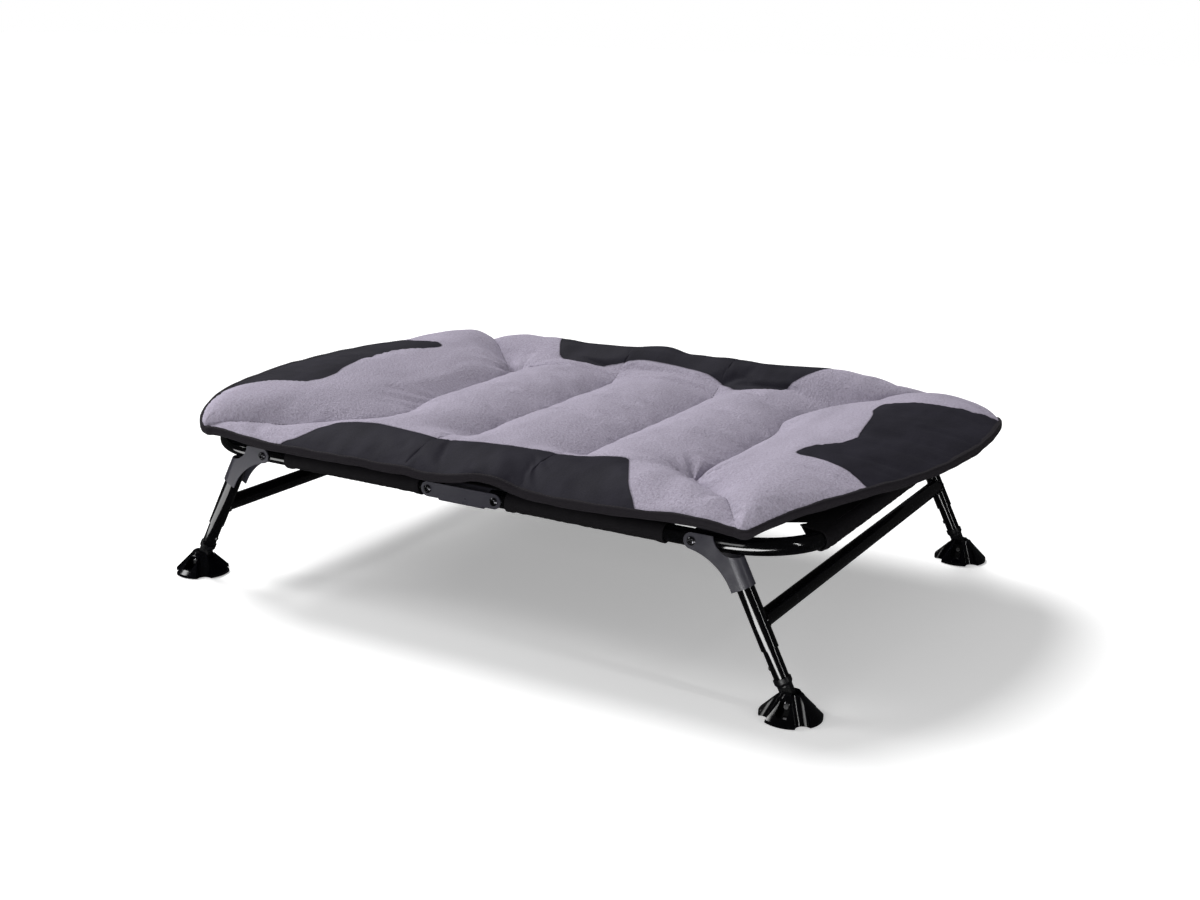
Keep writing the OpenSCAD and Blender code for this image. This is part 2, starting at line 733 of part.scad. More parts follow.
// A closed cushion from rows of points: top rows, bottom rows and the side walls between them
module cushion(top_rows, bottom_rows) {
    n = len(top_rows);
    m = len(top_rows[0]);
    under = n * m;
    points = concat([for (r = top_rows) each r], [for (r = bottom_rows) each r]);
    rim = concat(
        [for (i = [0 : n - 1]) i * m],
        [for (j = [1 : m - 1]) (n - 1) * m + j],
        [for (i = [n - 2 : -1 : 0]) i * m + m - 1],
        [for (j = [m - 2 : -1 : 1]) j]
    );
    faces = concat(
        [for (i = [0 : n - 2]) for (j = [0 : m - 2]) let (a = i * m + j)
            each [[a, a + 1, a + m], [a + 1, a + m + 1, a + m]]],
        [for (i = [0 : n - 2]) for (j = [0 : m - 2]) let (a = under + i * m + j)
            each [[a, a + m, a + 1], [a + 1, a + m, a + m + 1]]],
        [for (k = [0 : len(rim) - 1]) let (a = rim[k], b = rim[(k + 1) % len(rim)])
            each [[a, b, under + a], [b, under + b, under + a]]]
    );
    polyhedron(points, faces);
}

// The right half, or with rear = -1 the left half turned about the upright
module mattress(rear) {
    rows = 2 * pad_cells;
    color(FLEECE) cushion(
        [for (i = [0 : rows]) half_row(i, rear, true)],
        [for (i = [0 : rows]) half_row(i, rear, false)]
    );
}

module mattress_middle() {
    color(FLEECE) cushion(
        [for (i = [0 : pad_cells]) middle_row(i, true)],
        [for (i = [0 : pad_cells]) middle_row(i, false)]
    );
}

// Drawing

hinge_link();  // hinge_link_front
mirror([0, 1, 0]) hinge_link();  // hinge_link_rear
hinge_bolts();
mattress_middle();
base_sheet_middle();
mattress(1);  // mattress_right
rotate([0, 0, 180]) mattress(-1);  // mattress_left

for (s = SIDES) {
    side(s) rail();
    side(s) rail_plugs();
    side(s) leg_bolts();
    side(s) base_sheet();
    side(s) sleeves();
    side(s) crossbar();
}

for (c = CORNERS) {
    corner(c) leg_bracket();
    corner(c) outer_leg();
    corner(c) inner_leg();
    corner(c) leg_plug();
    corner(c) plug_rivet();
    corner(c) snap_button();
    corner(c) lock_spring();
    corner(c) foot_pin();
    corner(c) foot();
}
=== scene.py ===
"""Looks of the raised dog cot: finishes for its frame, a sleeved base sheet and a quilted mattress.

Everything is in metres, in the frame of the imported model: +X along the cot, -Y to its front and +Z up.
"""

from __future__ import annotations

import json
import logging
import math
from dataclasses import dataclass, field
from enum import Enum
from typing import Sequence

import bpy
import numpy as np
from mathutils import Matrix, Vector, noise

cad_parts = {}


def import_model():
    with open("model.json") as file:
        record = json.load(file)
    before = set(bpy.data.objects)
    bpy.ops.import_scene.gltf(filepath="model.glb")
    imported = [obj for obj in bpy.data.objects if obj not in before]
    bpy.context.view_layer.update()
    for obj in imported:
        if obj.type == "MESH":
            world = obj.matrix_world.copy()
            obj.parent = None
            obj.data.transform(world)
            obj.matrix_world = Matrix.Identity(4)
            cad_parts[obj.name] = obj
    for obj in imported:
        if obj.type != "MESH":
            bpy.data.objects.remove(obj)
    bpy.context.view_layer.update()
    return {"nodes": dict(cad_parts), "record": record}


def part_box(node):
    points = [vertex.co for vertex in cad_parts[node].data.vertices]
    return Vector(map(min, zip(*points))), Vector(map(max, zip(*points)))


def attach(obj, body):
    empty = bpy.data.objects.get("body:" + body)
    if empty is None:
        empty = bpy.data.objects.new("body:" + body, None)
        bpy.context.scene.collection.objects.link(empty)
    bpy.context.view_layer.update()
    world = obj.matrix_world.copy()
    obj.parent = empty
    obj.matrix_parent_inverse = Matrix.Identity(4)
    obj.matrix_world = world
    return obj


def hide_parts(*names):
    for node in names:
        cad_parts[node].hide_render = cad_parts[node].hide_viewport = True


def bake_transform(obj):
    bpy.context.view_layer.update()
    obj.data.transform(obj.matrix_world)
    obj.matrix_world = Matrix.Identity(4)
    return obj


LOG = logging.getLogger("dog_cot")
PHOTO_WIDTH_PX = 1200.0
LAY = "lay"
PANEL = "panel"
LEGS = ("front_left", "rear_left", "front_right", "rear_right")
UP = np.array([0.0, 0.0, 1.0])
FLAT = np.array([1.0, 1.0, 0.0])
NOISE_GAIN = 1.6
NOISE_SPAN = (0.3, 0.7)
TINY = 1e-12

Colour = tuple[float, float, float]
Point2 = tuple[float, float]
Point3 = tuple[float, float, float]


class Half(Enum):
    """The two halves of the cot, which fold up on the centre hinge."""

    LEFT = -1
    RIGHT = 1

    @property
    def word(self) -> str:
        """The half's name in node and body names."""
        return self.name.lower()

    @property
    def body(self) -> str:
        """The body that the half's fabric follows."""
        return f"{self.word}_frame"

    def turn(self, points: np.ndarray) -> np.ndarray:
        """Points of the right half, given a half turn about Z for the left one."""
        return points * np.array([self.value, self.value, 1.0])


class Stretch(Enum):
    """The stretches of the mattress from its middle to an end."""

    MIDDLE = 0
    PAD = 1
    PILLOW = 2


# Small helpers for shapes


def mix(a: float | np.ndarray, b: float | np.ndarray, t: float | np.ndarray) -> float | np.ndarray:
    """The value a share t of the way from a to b."""
    return a + (b - a) * t


def smooth(t: np.ndarray) -> np.ndarray:
    """A soft step from 0 to 1."""
    c = np.clip(t, 0.0, 1.0)
    return c * c * (3.0 - 2.0 * c)


def ripple(points: np.ndarray, size: float, seed: float) -> np.ndarray:
    """Soft noise between about -1 and 1 at each point.

    Args:
        points: Rows of x, y, z in metres.
        size: Size of the noise's lumps in metres.
        seed: Shift that makes one noise differ from another.

    Returns:
        One value per row.
    """
    scaled = points / size + seed
    return np.array([noise.noise(Vector(p)) for p in scaled]) * NOISE_GAIN


@dataclass(frozen=True)
class Lumps:
    """Soft noise on a cloth.

    Attributes:
        height: Height of the lumps.
        size: Size of a lump.
        seed: Shift that makes one noise differ from another.
    """

    height: float
    size: float
    seed: float

    def at(self, points: np.ndarray, share: float | np.ndarray = 1.0) -> np.ndarray:
        """The noise at each point, weighted by a share."""
        return self.height * share * ripple(points, self.size, self.seed)


def unit(rows: np.ndarray) -> np.ndarray:
    """Each row as a direction of length 1."""
    return rows / np.linalg.norm(rows, axis=1)[:, None]


def distance_along(path: np.ndarray) -> np.ndarray:
    """The distance of each point from a path's start, along the path."""
    return np.concatenate([[0.0], np.cumsum(np.linalg.norm(np.diff(path, axis=0), axis=1))])


def rows_at(rows: np.ndarray, along: np.ndarray, places: np.ndarray) -> np.ndarray:
    """Rows of x, y, z at new places along a path."""
    return np.stack([np.interp(places, along, rows[:, k]) for k in range(3)], axis=1)


def even_path(points: np.ndarray, step: float) -> np.ndarray:
    """A path through the same points with an even spacing.

    Args:
        points: Rows of x, y, z along the path.
        step: Distance between the new points, about.

    Returns:
        The new rows.
    """
    along = distance_along(points)
    places = np.linspace(0.0, along[-1], max(2, round(along[-1] / step)) + 1)
    return rows_at(points, along, places)


def smooth_outline(corners: Sequence[Point2], per_side: int = 8) -> np.ndarray:
    """A closed rounded outline through a few points.

    Args:
        corners: The points in order.
        per_side: Number of points on each stretch.

    Returns:
        Rows of x, y round the outline.
    """
    p = np.array(corners, float)
    a, b, c, d = np.roll(p, 1, axis=0), p, np.roll(p, -1, axis=0), np.roll(p, -2, axis=0)
    rows = []
    for t in np.arange(per_side) / per_side:
        square = (2.0 * a - 5.0 * b + 4.0 * c - d) * t**2
        cube = (3.0 * (b - c) + d - a) * t**3
        rows.append(0.5 * (2.0 * b + (c - a) * t + square + cube))
    return np.stack(rows, axis=1).reshape(-1, 2)


def inside_distance(points: np.ndarray, outline: np.ndarray) -> np.ndarray:
    """Distance of each point from an outline, above 0 inside it.

    Args:
        points: Rows of x, y.
        outline: Rows of x, y round the outline.

    Returns:
        One signed distance per point.
    """
    distance = np.full(len(points), np.inf)
    inside = np.zeros(len(points), bool)
    for a, b in zip(outline, np.roll(outline, -1, axis=0)):
        edge = b - a
        t = np.clip(((points - a) @ edge) / max(edge @ edge, TINY), 0.0, 1.0)
        distance = np.minimum(distance, np.linalg.norm(points - a - t[:, None] * edge, axis=1))
        crosses = (a[1] > points[:, 1]) != (b[1] > points[:, 1])
        rise = edge[1] if abs(edge[1]) > TINY else TINY
        inside ^= crosses & (points[:, 0] < a[0] + (points[:, 1] - a[1]) / rise * edge[0])
    return np.where(inside, distance, -distance)


# Small helpers for meshes


def grid_faces(rows: int, columns: int, start: int = 0) -> np.ndarray:
    """Quads of a grid of points that is stored row by row.

    Args:
        rows: Number of rows of points.
        columns: Number of points in a row.
        start: Index of the grid's first point.

    Returns:
        An array of four indices per quad.
    """
    i, j = np.meshgrid(np.arange(rows - 1), np.arange(columns - 1), indexing="ij")
    a = (start + i * columns + j).ravel()
    return np.stack([a, a + 1, a + columns + 1, a + columns], axis=1)


def closed_slab(upper: np.ndarray, lower: np.ndarray, rows: int, columns: int) -> tuple[np.ndarray, list]:
    """A closed mesh from an upper and a lower grid of points.

    Args:
        upper: Rows of the upper grid, row by row.
        lower: Rows of the lower grid.
        rows: Rows of the grid.
        columns: Points in a row.

    Returns:
        The points and the faces.
    """
    under = rows * columns
    top = grid_faces(rows, columns)[:, ::-1]
    bottom = grid_faces(rows, columns, under)
    rim = [i * columns for i in range(rows)]
    rim += [(rows - 1) * columns + j for j in range(1, columns)]
    rim += [i * columns + columns - 1 for i in range(rows - 2, -1, -1)]
    rim += list(range(columns - 2, 0, -1))
    walls = []
    for a, b in zip(rim, rim[1:] + rim[:1]):
        walls.append([a, under + a, under + b, b])
    return np.concatenate([upper, lower]), [*top.tolist(), *bottom.tolist(), *walls]


def tube_faces(rings: int, count: int, start: int = 0, looped: bool = False) -> list[list[int]]:
    """Walls of a tube whose points are stored ring by ring.

    Args:
        rings: Number of rings.
        count: Points in a ring.
        start: Index of the tube's first point.
        looped: Whether the last ring joins the first.

    Returns:
        Lists of four indices.
    """
    faces = []
    for i in range(rings if looped else rings - 1):
        low, high = start + i * count, start + (i + 1) % rings * count
        for k in range(count):
            m = (k + 1) % count
            faces.append([low + k, low + m, high + m, high + k])
    return faces


def capped_tube_faces(rings: int, count: int, start: int = 0) -> list[list[int]]:
    """Walls and two ends of a tube whose rings run the other way round.

    Args:
        rings: Number of rings.
        count: Points in a ring.
        start: Index of the tube's first point.

    Returns:
        Lists of point indices.
    """
    walls = [face[:1] + face[:0:-1] for face in tube_faces(rings, count, start)]
    first = [start + k for k in range(count)]
    last = [start + (rings - 1) * count + k for k in reversed(range(count))]
    return [*walls, first, last]


def tube_lay(along: np.ndarray, around: np.ndarray) -> np.ndarray:
    """The flat cloth's places on a tube, from the distances along it and around it."""
    blank = np.zeros(len(along) * len(around))
    return np.column_stack([np.repeat(along, len(around)), np.tile(around, len(along)), blank])


def add_piece(name: str, points: np.ndarray, faces: Sequence, smooth_faces: bool = True) -> bpy.types.Object:
    """A new mesh object in the scene.

    Args:
        name: Name of the piece.
        points: Rows of x, y, z.
        faces: Lists of point indices.
        smooth_faces: Whether the faces are shaded smooth.

    Returns:
        The object.
    """
    mesh = bpy.data.meshes.new(name)
    mesh.from_pydata(np.asarray(points, float).tolist(), [], [list(map(int, f)) for f in faces])
    mesh.validate()
    mesh.polygons.foreach_set("use_smooth", [smooth_faces] * len(mesh.polygons))
    piece = bpy.data.objects.new(name, mesh)
    bpy.context.scene.collection.objects.link(piece)
    return piece


def store_lay(piece: bpy.types.Object, lay: np.ndarray) -> None:
    """Keeps each point's place on the flat cloth, which its weave and pile follow."""
    data = piece.data.attributes.new(LAY, "FLOAT_VECTOR", "POINT")
    data.data.foreach_set("vector", np.asarray(lay, np.float32).ravel())


def store_value(piece: bpy.types.Object, name: str, values: np.ndarray) -> None:
    """Keeps one number per point of a piece under a name."""
    data = piece.data.attributes.new(name, "FLOAT", "POINT")
    data.data.foreach_set("value", np.asarray(values, np.float32).ravel())


def crease_at(piece: bpy.types.Object, degrees: float) -> None:
    """Keeps edges that turn by more than an angle sharp in the shading."""
    piece.data.set_sharp_from_angle(angle=math.radians(degrees))


def finish_piece(piece: bpy.types.Object, material: bpy.types.Material) -> None:
    """Gives a piece its material, and reports it.

    Args:
        piece: The piece.
        material: Its material.
    """
    piece.data.materials.append(material)
    LOG.info("piece %s: %d points", piece.name, len(piece.data.vertices))


def join(pieces: Sequence[bpy.types.Object], name: str) -> bpy.types.Object:
    """Several mesh pieces as one.

    Args:
        pieces: The pieces, which are used up.
        name: Name of the new piece.

    Returns:
        The new piece.
    """
    points, faces, lay, start = [], [], [], 0
    for piece in pieces:
        mesh = piece.data
        points += [tuple(v.co) for v in mesh.vertices]
        faces += [[start + i for i in p.vertices] for p in mesh.polygons]
        lay += [tuple(d.vector) for d in mesh.attributes[LAY].data]
        start += len(mesh.vertices)
        bpy.data.objects.remove(piece)
        bpy.data.meshes.remove(mesh)
    made = add_piece(name, np.array(points), faces)
    store_lay(made, np.array(lay))
    return made


# Node groups that several finishes share


class Nodes:
    """A node tree under construction, with short calls for its nodes and links."""

    def __init__(self, tree: bpy.types.NodeTree) -> None:
        """Starts on a tree."""
        self.tree = tree

    def add(self, kind: str, inputs: dict | None = None, **settings: object) -> bpy.types.Node:
        """A new node.

        Args:
            kind: Blender's name of the node's type.
            inputs: Values or output sockets by input name or number.
            **settings: The node's own settings.

        Returns:
            The node.
        """
        node = self.tree.nodes.new(kind)
        for name, value in settings.items():
            setattr(node, name, value)
        for name, value in (inputs or {}).items():
            self.put(node.inputs[name], value)
        return node

    def put(self, socket: bpy.types.NodeSocket, value: object) -> None:
        """Sets an input's value, or links an output to it.

        Args:
            socket: The input.
            value: A value, or an output socket.
        """
        if isinstance(value, bpy.types.NodeSocket):
            self.tree.links.new(value, socket)
        else:
            socket.default_value = value

    def math(self, operation: str, a: object, b: object = 0.0) -> bpy.types.NodeSocket:
        """The result of a sum on two values or sockets."""
        return self.add("ShaderNodeMath", {0: a, 1: b}, operation=operation).outputs[0]

    def blend(self, share: object, a: object, b: object) -> bpy.types.NodeSocket:
        """A colour that is mixed from two."""
        node = self.add("ShaderNodeMix", {0: share, 6: a, 7: b}, data_type="RGBA")
        return node.outputs[2]

    def span(self, value: object, low: float, high: float, to: Point2 = (0.0, 1.0)) -> bpy.types.NodeSocket:
        """A value carried from one span to another, and held at its ends."""
        limits = {1: low, 2: high, 3: to[0], 4: to[1]}
        return self.add("ShaderNodeMapRange", {0: value, **limits}).outputs[0]

    def cloud(
        self, vector: object, scale: object, detail: float = 2.0, rough: float = 0.5
    ) -> bpy.types.NodeSocket:
        """Soft noise as a value round a half."""
        inputs = {"Vector": vector, "Scale": scale, "Detail": detail, "Roughness": rough}
        return self.add("ShaderNodeTexNoise", inputs).outputs[0]

    def bump(self, shader: bpy.types.Node, height: object, strength: float, depth: float) -> None:
        """Lets a height from 0 to 1 raise the shader's surface by a depth in metres."""
        node = self.add("ShaderNodeBump", {"Strength": strength, "Distance": depth, "Height": height})
        self.put(shader.inputs["Normal"], node.outputs[0])


def new_group(
    name: str, inputs: dict[str, float], outputs: Sequence[str]
) -> tuple[Nodes, bpy.types.Node, bpy.types.Node]:
    """An empty shader group with a vector input, value inputs and value outputs.

    Args:
        name: Name of the group.
        inputs: Name and default of each value input.
        outputs: Names of the value outputs.

    Returns:
        The tree's builder, the group's input node and its output node.
    """
    tree = bpy.data.node_groups.new(name, "ShaderNodeTree")
    tree.interface.new_socket("Vector", in_out="INPUT", socket_type="NodeSocketVector")
    for label, value in inputs.items():
        tree.interface.new_socket(label, in_out="INPUT", socket_type="NodeSocketFloat").default_value = value
    for label in outputs:
        tree.interface.new_socket(label, in_out="OUTPUT", socket_type="NodeSocketFloat")
    build = Nodes(tree)
    return build, build.add("NodeGroupInput"), build.add("NodeGroupOutput")


class SharedEffects:
    """The shader groups that the finishes place with their own values."""

    def __init__(self) -> None:
        """Builds each group once."""
        self.handling = self._handling()
        self.weave = self._weave()
        self.pile = self._pile()

    @staticmethod
    def _handling() -> bpy.types.NodeTree:
        """Faint marks of use on paint, plastic and steel: a cloudy mask, fine scuffs and a skin's height.

        Returns:
            The group.
        """
        build, source, result = new_group("handling_marks", {"Marks": 30.0}, ("Cloud", "Scuff", "Skin"))
        place, marks = source.outputs["Vector"], source.outputs["Marks"]
        scratches, grains = build.math("MULTIPLY", marks, 9.0), build.math("MULTIPLY", marks, 28.0)
        cloud = build.cloud(place, marks, detail=3.0, rough=0.55)
        fine = build.cloud(place, scratches, detail=4.0, rough=0.7)
        patches = build.span(cloud, 0.52, 0.7)
        scuff = build.math("MULTIPLY", build.span(fine, 0.56, 0.72), patches)
        build.put(result.inputs["Cloud"], cloud)
        build.put(result.inputs["Scuff"], scuff)
        build.put(result.inputs["Skin"], build.cloud(place, grains, detail=1.0))
        return build.tree

    @staticmethod
    def _weave() -> bpy.types.NodeTree:
        """A plain weave on the flat cloth: the threads' height and an uneven tone.

        Returns:
            The group.
        """
        build, source, result = new_group("plain_weave", {"Threads": 900.0}, ("Height", "Tone"))
        place, threads = source.outputs["Vector"], source.outputs["Threads"]
        parts = build.add("ShaderNodeSeparateXYZ", {0: place})
        turns = build.math("MULTIPLY", threads, math.pi)
        waves = []
        for axis in ("X", "Y"):
            waves.append(build.math("SINE", build.math("MULTIPLY", parts.outputs[axis], turns)))
        crossing = build.math("MULTIPLY", waves[0], waves[1])
        height = build.math("MULTIPLY_ADD", crossing, 0.5)
        height.node.inputs[2].default_value = 0.5
        tone = build.cloud(place, build.math("MULTIPLY", threads, 0.12), detail=3.0, rough=0.7)
        build.put(result.inputs["Height"], height)
        build.put(result.inputs["Tone"], tone)
        return build.tree

    @staticmethod
    def _pile() -> bpy.types.NodeTree:
        """Brushed pile on the flat cloth: the tufts' height, their speckle and broad brush strokes.

        Returns:
            The group.
        """
        build, source, result = new_group("brushed_pile", {"Tufts": 270.0}, ("Height", "Speckle", "Stroke"))
        place, tufts = source.outputs["Vector"], source.outputs["Tufts"]
        height = build.cloud(place, tufts, detail=3.0, rough=0.75)
        speckle = build.cloud(place, build.math("MULTIPLY", tufts, 2.3), detail=2.0, rough=0.8)
        brushed = build.add("ShaderNodeMapping", {"Vector": place, "Scale": (1.0, 0.35, 1.0)}).outputs[0]
        stroke = build.cloud(brushed, build.math("MULTIPLY", tufts, 0.09), detail=4.0, rough=0.6)
        build.put(result.inputs["Height"], height)
        build.put(result.inputs["Speckle"], speckle)
        build.put(result.inputs["Stroke"], stroke)
        return build.tree


# Finishes


def start_material(name: str, values: dict[str, object]) -> tuple[bpy.types.Material, Nodes, bpy.types.Node]:
    """A new material with its shader's fixed values set.

    Args:
        name: Name of the material.
        values: Fixed values by the shader's socket name.

    Returns:
        The material, its tree's builder and its shader node.
    """
    material = bpy.data.materials.new(name)
    material.use_nodes = True
    build = Nodes(material.node_tree)
    shader = material.node_tree.nodes["Principled BSDF"]
    for label, value in values.items():
        shader.inputs[label].default_value = value
    return material, build, shader


def rgba(colour: Colour, gain: float) -> tuple[float, float, float, float]:
    """A colour with full cover, made lighter or darker by a gain."""
    return (colour[0] * gain, colour[1] * gain, colour[2] * gain, 1.0)


def shades(colour: Colour, gains: Point2) -> list[tuple[float, float, float, float]]:
    """A darker and a lighter shade of a colour."""
    return [rgba(colour, gain) for gain in gains]


@dataclass(frozen=True)
class HardFinish:
    """A hard surface: paint, coated plate, steel or moulded plastic.

    Attributes:
        name: Name of the material.
        colour: Main colour.
        metallic: 1 for bare metal.
        roughness: Roughness where nothing has touched it.
        gloss: Strength of the reflection seen straight on.
        skin: Depth of the skin's fine unevenness in metres.
        scuff: How much lighter and rougher the scuffs are.
        marks_per_metre: Marks of use in a metre.
        cloudy: Gain of the colour where the surface is darkest and lightest.
        polish: Share of the roughness where the surface is smoothest and roughest.
        scuff_tone: What a full scuff adds to the colour, and its gain after that.
        scuff_rough: What a full scuff adds to the roughness.
    """

    name: str
    colour: Colour
    metallic: float
    roughness: float
    gloss: float
    skin: float
    scuff: float
    marks_per_metre: float
    cloudy: Point2 = (0.9, 1.12)
    polish: Point2 = (0.8, 1.25)
    scuff_tone: Point2 = (0.06, 1.15)
    scuff_rough: float = 0.25

    def material(self, effects: SharedEffects) -> bpy.types.Material:
        """The finish as a material.

        Args:
            effects: The shared shader groups.

        Returns:
            The material.
        """
        fixed = {"Metallic": self.metallic, "Specular IOR Level": self.gloss}
        material, build, shader = start_material(self.name, fixed)
        place = build.add("ShaderNodeTexCoord").outputs["Object"]
        inputs = {"Vector": place, "Marks": self.marks_per_metre}
        marks = build.add("ShaderNodeGroup", inputs, node_tree=effects.handling).outputs
        added, gain = self.scuff_tone
        worn = rgba(tuple(c + added * self.scuff for c in self.colour), gain)
        shade = build.blend(marks["Cloud"], *shades(self.colour, self.cloudy))
        build.put(shader.inputs["Base Color"], build.blend(marks["Scuff"], shade, worn))
        smoothest, roughest = self.polish
        ends = (self.roughness * smoothest, self.roughness * roughest)
        rough = build.span(marks["Cloud"], *NOISE_SPAN, ends)
        raised = build.math("MULTIPLY", marks["Scuff"], self.scuff_rough * self.scuff)
        build.put(shader.inputs["Roughness"], build.math("ADD", rough, raised))
        build.bump(shader, marks["Skin"], strength=1.0, depth=self.skin)
        return material


@dataclass(frozen=True)
class WovenFinish:
    """A woven cloth: base sheet, sleeves, binding or thread.

    Attributes:
        name: Name of the material.
        colour: Main colour.
        threads: Threads in a metre.
        depth: Depth of the weave in metres.
        roughness: Roughness of the cloth.
        sheen: Weight of its sheen.
        gloss: Strength of the reflection seen straight on.
        uneven: Gain of the colour where the cloth is darkest and lightest.
        painted_thread_highlight: Gain of the colour in a painted highlight on top of a thread, and its share
            there.
        nap: Share of the roughness where the cloth is smoothest and roughest.
    """

    name: str
    colour: Colour
    threads: float
    depth: float
    roughness: float
    sheen: float
    gloss: float = 0.03
    uneven: Point2 = (0.72, 1.3)
    painted_thread_highlight: Point2 = (1.6, 0.3)
    nap: Point2 = (0.92, 1.08)

    def material(self, effects: SharedEffects) -> bpy.types.Material:
        """The finish as a material.

        Args:
            effects: The shared shader groups.

        Returns:
            The material.
        """
        fixed = {"Sheen Weight": self.sheen, "Sheen Roughness": 0.5, "Specular IOR Level": self.gloss}
        material, build, shader = start_material(self.name, fixed)
        place = build.add("ShaderNodeAttribute", attribute_name=LAY).outputs["Vector"]
        inputs = {"Vector": place, "Threads": self.threads}
        weave = build.add("ShaderNodeGroup", inputs, node_tree=effects.weave).outputs
        tone = build.blend(weave["Tone"], *shades(self.colour, self.uneven))
        # Painted highlight: the colour grows lighter towards the top of each thread, where the weave is
        # highest.
        gain, share = self.painted_thread_highlight
        thread = build.span(weave["Height"], 0.0, 1.0, (0.0, share))
        build.put(shader.inputs["Base Color"], build.blend(thread, tone, rgba(self.colour, gain)))
        smoothest, roughest = self.nap
        ends = (self.roughness * smoothest, min(1.0, self.roughness * roughest))
        build.put(shader.inputs["Roughness"], build.span(weave["Tone"], *NOISE_SPAN, ends))
        build.bump(shader, weave["Height"], strength=0.7, depth=self.depth)
        return material


@dataclass(frozen=True)
class QuiltFinish:
    """The mattress cover: brushed fleece with smooth charcoal panels sewn in.

    Attributes:
        name: Name of the material.
        fleece: Colour of the fleece.
        charcoal: Colour of the panels.
        seam: Width of the dark seam line round a panel in metres.
        seam_tone: Gain of the charcoal in that line, and the line's strength.
        border: Half width of the blend from fleece to panel in metres.
        painted_pile_shade: Gain of the fleece in a painted shade where its pile is low, across and along the
            brush strokes.
        raised: Gain of the fleece in a painted highlight where its pile stands up.
        fibre: Gain of the fleece on single bright fibres, and their share.
        streaked: Gain of the charcoal in its dark and light streaks.
        fleck: Gain of the charcoal in its flecks, and their share.
        roughness: Roughness of the fleece and of the panels.
        pile: Height of the pile in metres.
        smoothness: Share of the pile's height that shows on the panels.
    """

    name: str
    fleece: Colour
    charcoal: Colour
    seam: float
    seam_tone: Point2 = (0.5, 0.55)
    border: float = 0.0005
    painted_pile_shade: Point2 = (0.50, 0.98)
    raised: Point2 = (0.86, 1.40)
    fibre: Point2 = (1.40, 0.6)
    streaked: Point2 = (0.65, 1.2)
    fleck: Point2 = (1.5, 0.7)
    roughness: Point2 = (0.95, 0.62)
    pile: float = 0.0030
    smoothness: float = 0.12

    def material(self, effects: SharedEffects) -> bpy.types.Material:
        """The finish as a material.

        Args:
            effects: The shared shader groups.

        Returns:
            The material.
        """
        fixed = {"Sheen Weight": 0.01, "Sheen Roughness": 0.4, "Specular IOR Level": 0.02}
        material, build, shader = start_material(self.name, fixed)
        place = build.add("ShaderNodeAttribute", attribute_name=LAY).outputs["Vector"]
        panel = build.add("ShaderNodeAttribute", attribute_name=PANEL).outputs["Fac"]
        pile = build.add("ShaderNodeGroup", {"Vector": place}, node_tree=effects.pile)
        is_panel = build.span(panel, -self.border, self.border)
        fleece = self._fleece(build, pile.outputs)
        cover = build.blend(is_panel, fleece, self._panels(build, pile.outputs))
        gain, strength = self.seam_tone
        at_seam = build.span(build.math("ABSOLUTE", panel), 0.0, self.seam, (strength, 0.0))
        build.put(shader.inputs["Base Color"], build.blend(at_seam, cover, rgba(self.charcoal, gain)))
        build.put(shader.inputs["Roughness"], build.span(is_panel, 0.0, 1.0, self.roughness))
        shown = build.span(is_panel, 0.0, 1.0, (1.0, self.smoothness))
        tufts = build.math("MULTIPLY", pile.outputs["Height"], shown)
        build.bump(shader, tufts, strength=0.9, depth=self.pile)
        return material

    def _fleece(self, build: Nodes, pile: bpy.types.NodeOutputs) -> bpy.types.NodeSocket:
        """The fleece's colour: a painted shade where the pile is low, a painted highlight where it stands up,
        and bright fibres.

        Args:
            build: The material's tree.
            pile: Outputs of the brushed pile.

        Returns:
            The colour.
        """
        painted_pile_shade = build.blend(pile["Stroke"], *shades(self.fleece, self.painted_pile_shade))
        raised = build.blend(pile["Stroke"], *shades(self.fleece, self.raised))
        # Painted shade and highlight: the fleece is darker where the pile's height is low and lighter where
        # it is high.
        brushed = build.blend(build.span(pile["Height"], 0.36, 0.64), painted_pile_shade, raised)
        gain, share = self.fibre
        fibres = build.span(pile["Speckle"], 0.35, 0.70, (0.0, share))
        return build.blend(fibres, brushed, rgba(self.fleece, gain))

    def _panels(self, build: Nodes, pile: bpy.types.NodeOutputs) -> bpy.types.NodeSocket:
        """The panels' colour: charcoal with streaks and flecks.

        Args:
            build: The material's tree.
            pile: Outputs of the brushed pile.

        Returns:
            The colour.
        """
        streaks = build.span(pile["Stroke"], 0.35, 0.65)
        plain = build.blend(streaks, *shades(self.charcoal, self.streaked))
        gain, share = self.fleck
        flecks = build.span(pile["Speckle"], *NOISE_SPAN, (0.0, share))
        return build.blend(flecks, plain, rgba(self.charcoal, gain))


FINISHES: dict[str, HardFinish] = {
    "gloss_tube": HardFinish(
        "gloss_black_tube", (0.001, 0.001, 0.0014),
        metallic=0.0, roughness=0.09, gloss=0.45, skin=0.00002, scuff=0.15, marks_per_metre=26.0,
    ),
    "stamped_plate": HardFinish(
        "satin_grey_plate", (0.0335, 0.0325, 0.0425),
        metallic=0.0, roughness=0.32, gloss=0.26, skin=0.00005, scuff=0.3, marks_per_metre=40.0,
    ),
    "bright_steel": HardFinish(
        "zinc_plated_steel", (0.55, 0.55, 0.56),
        metallic=1.0, roughness=0.20, gloss=0.50, skin=0.00003, scuff=0.5, marks_per_metre=80.0,
    ),
    "moulded_nylon": HardFinish(
        "moulded_nylon", (0.005, 0.005, 0.006),
        metallic=0.0, roughness=0.28, gloss=0.20, skin=0.00006, scuff=0.3, marks_per_metre=60.0,
    ),
    "gloss_plastic": HardFinish(
        "gloss_black_plastic", (0.001, 0.001, 0.0018),
        metallic=0.0, roughness=0.10, gloss=0.50, skin=0.00004, scuff=0.15, marks_per_metre=50.0,
    ),
}
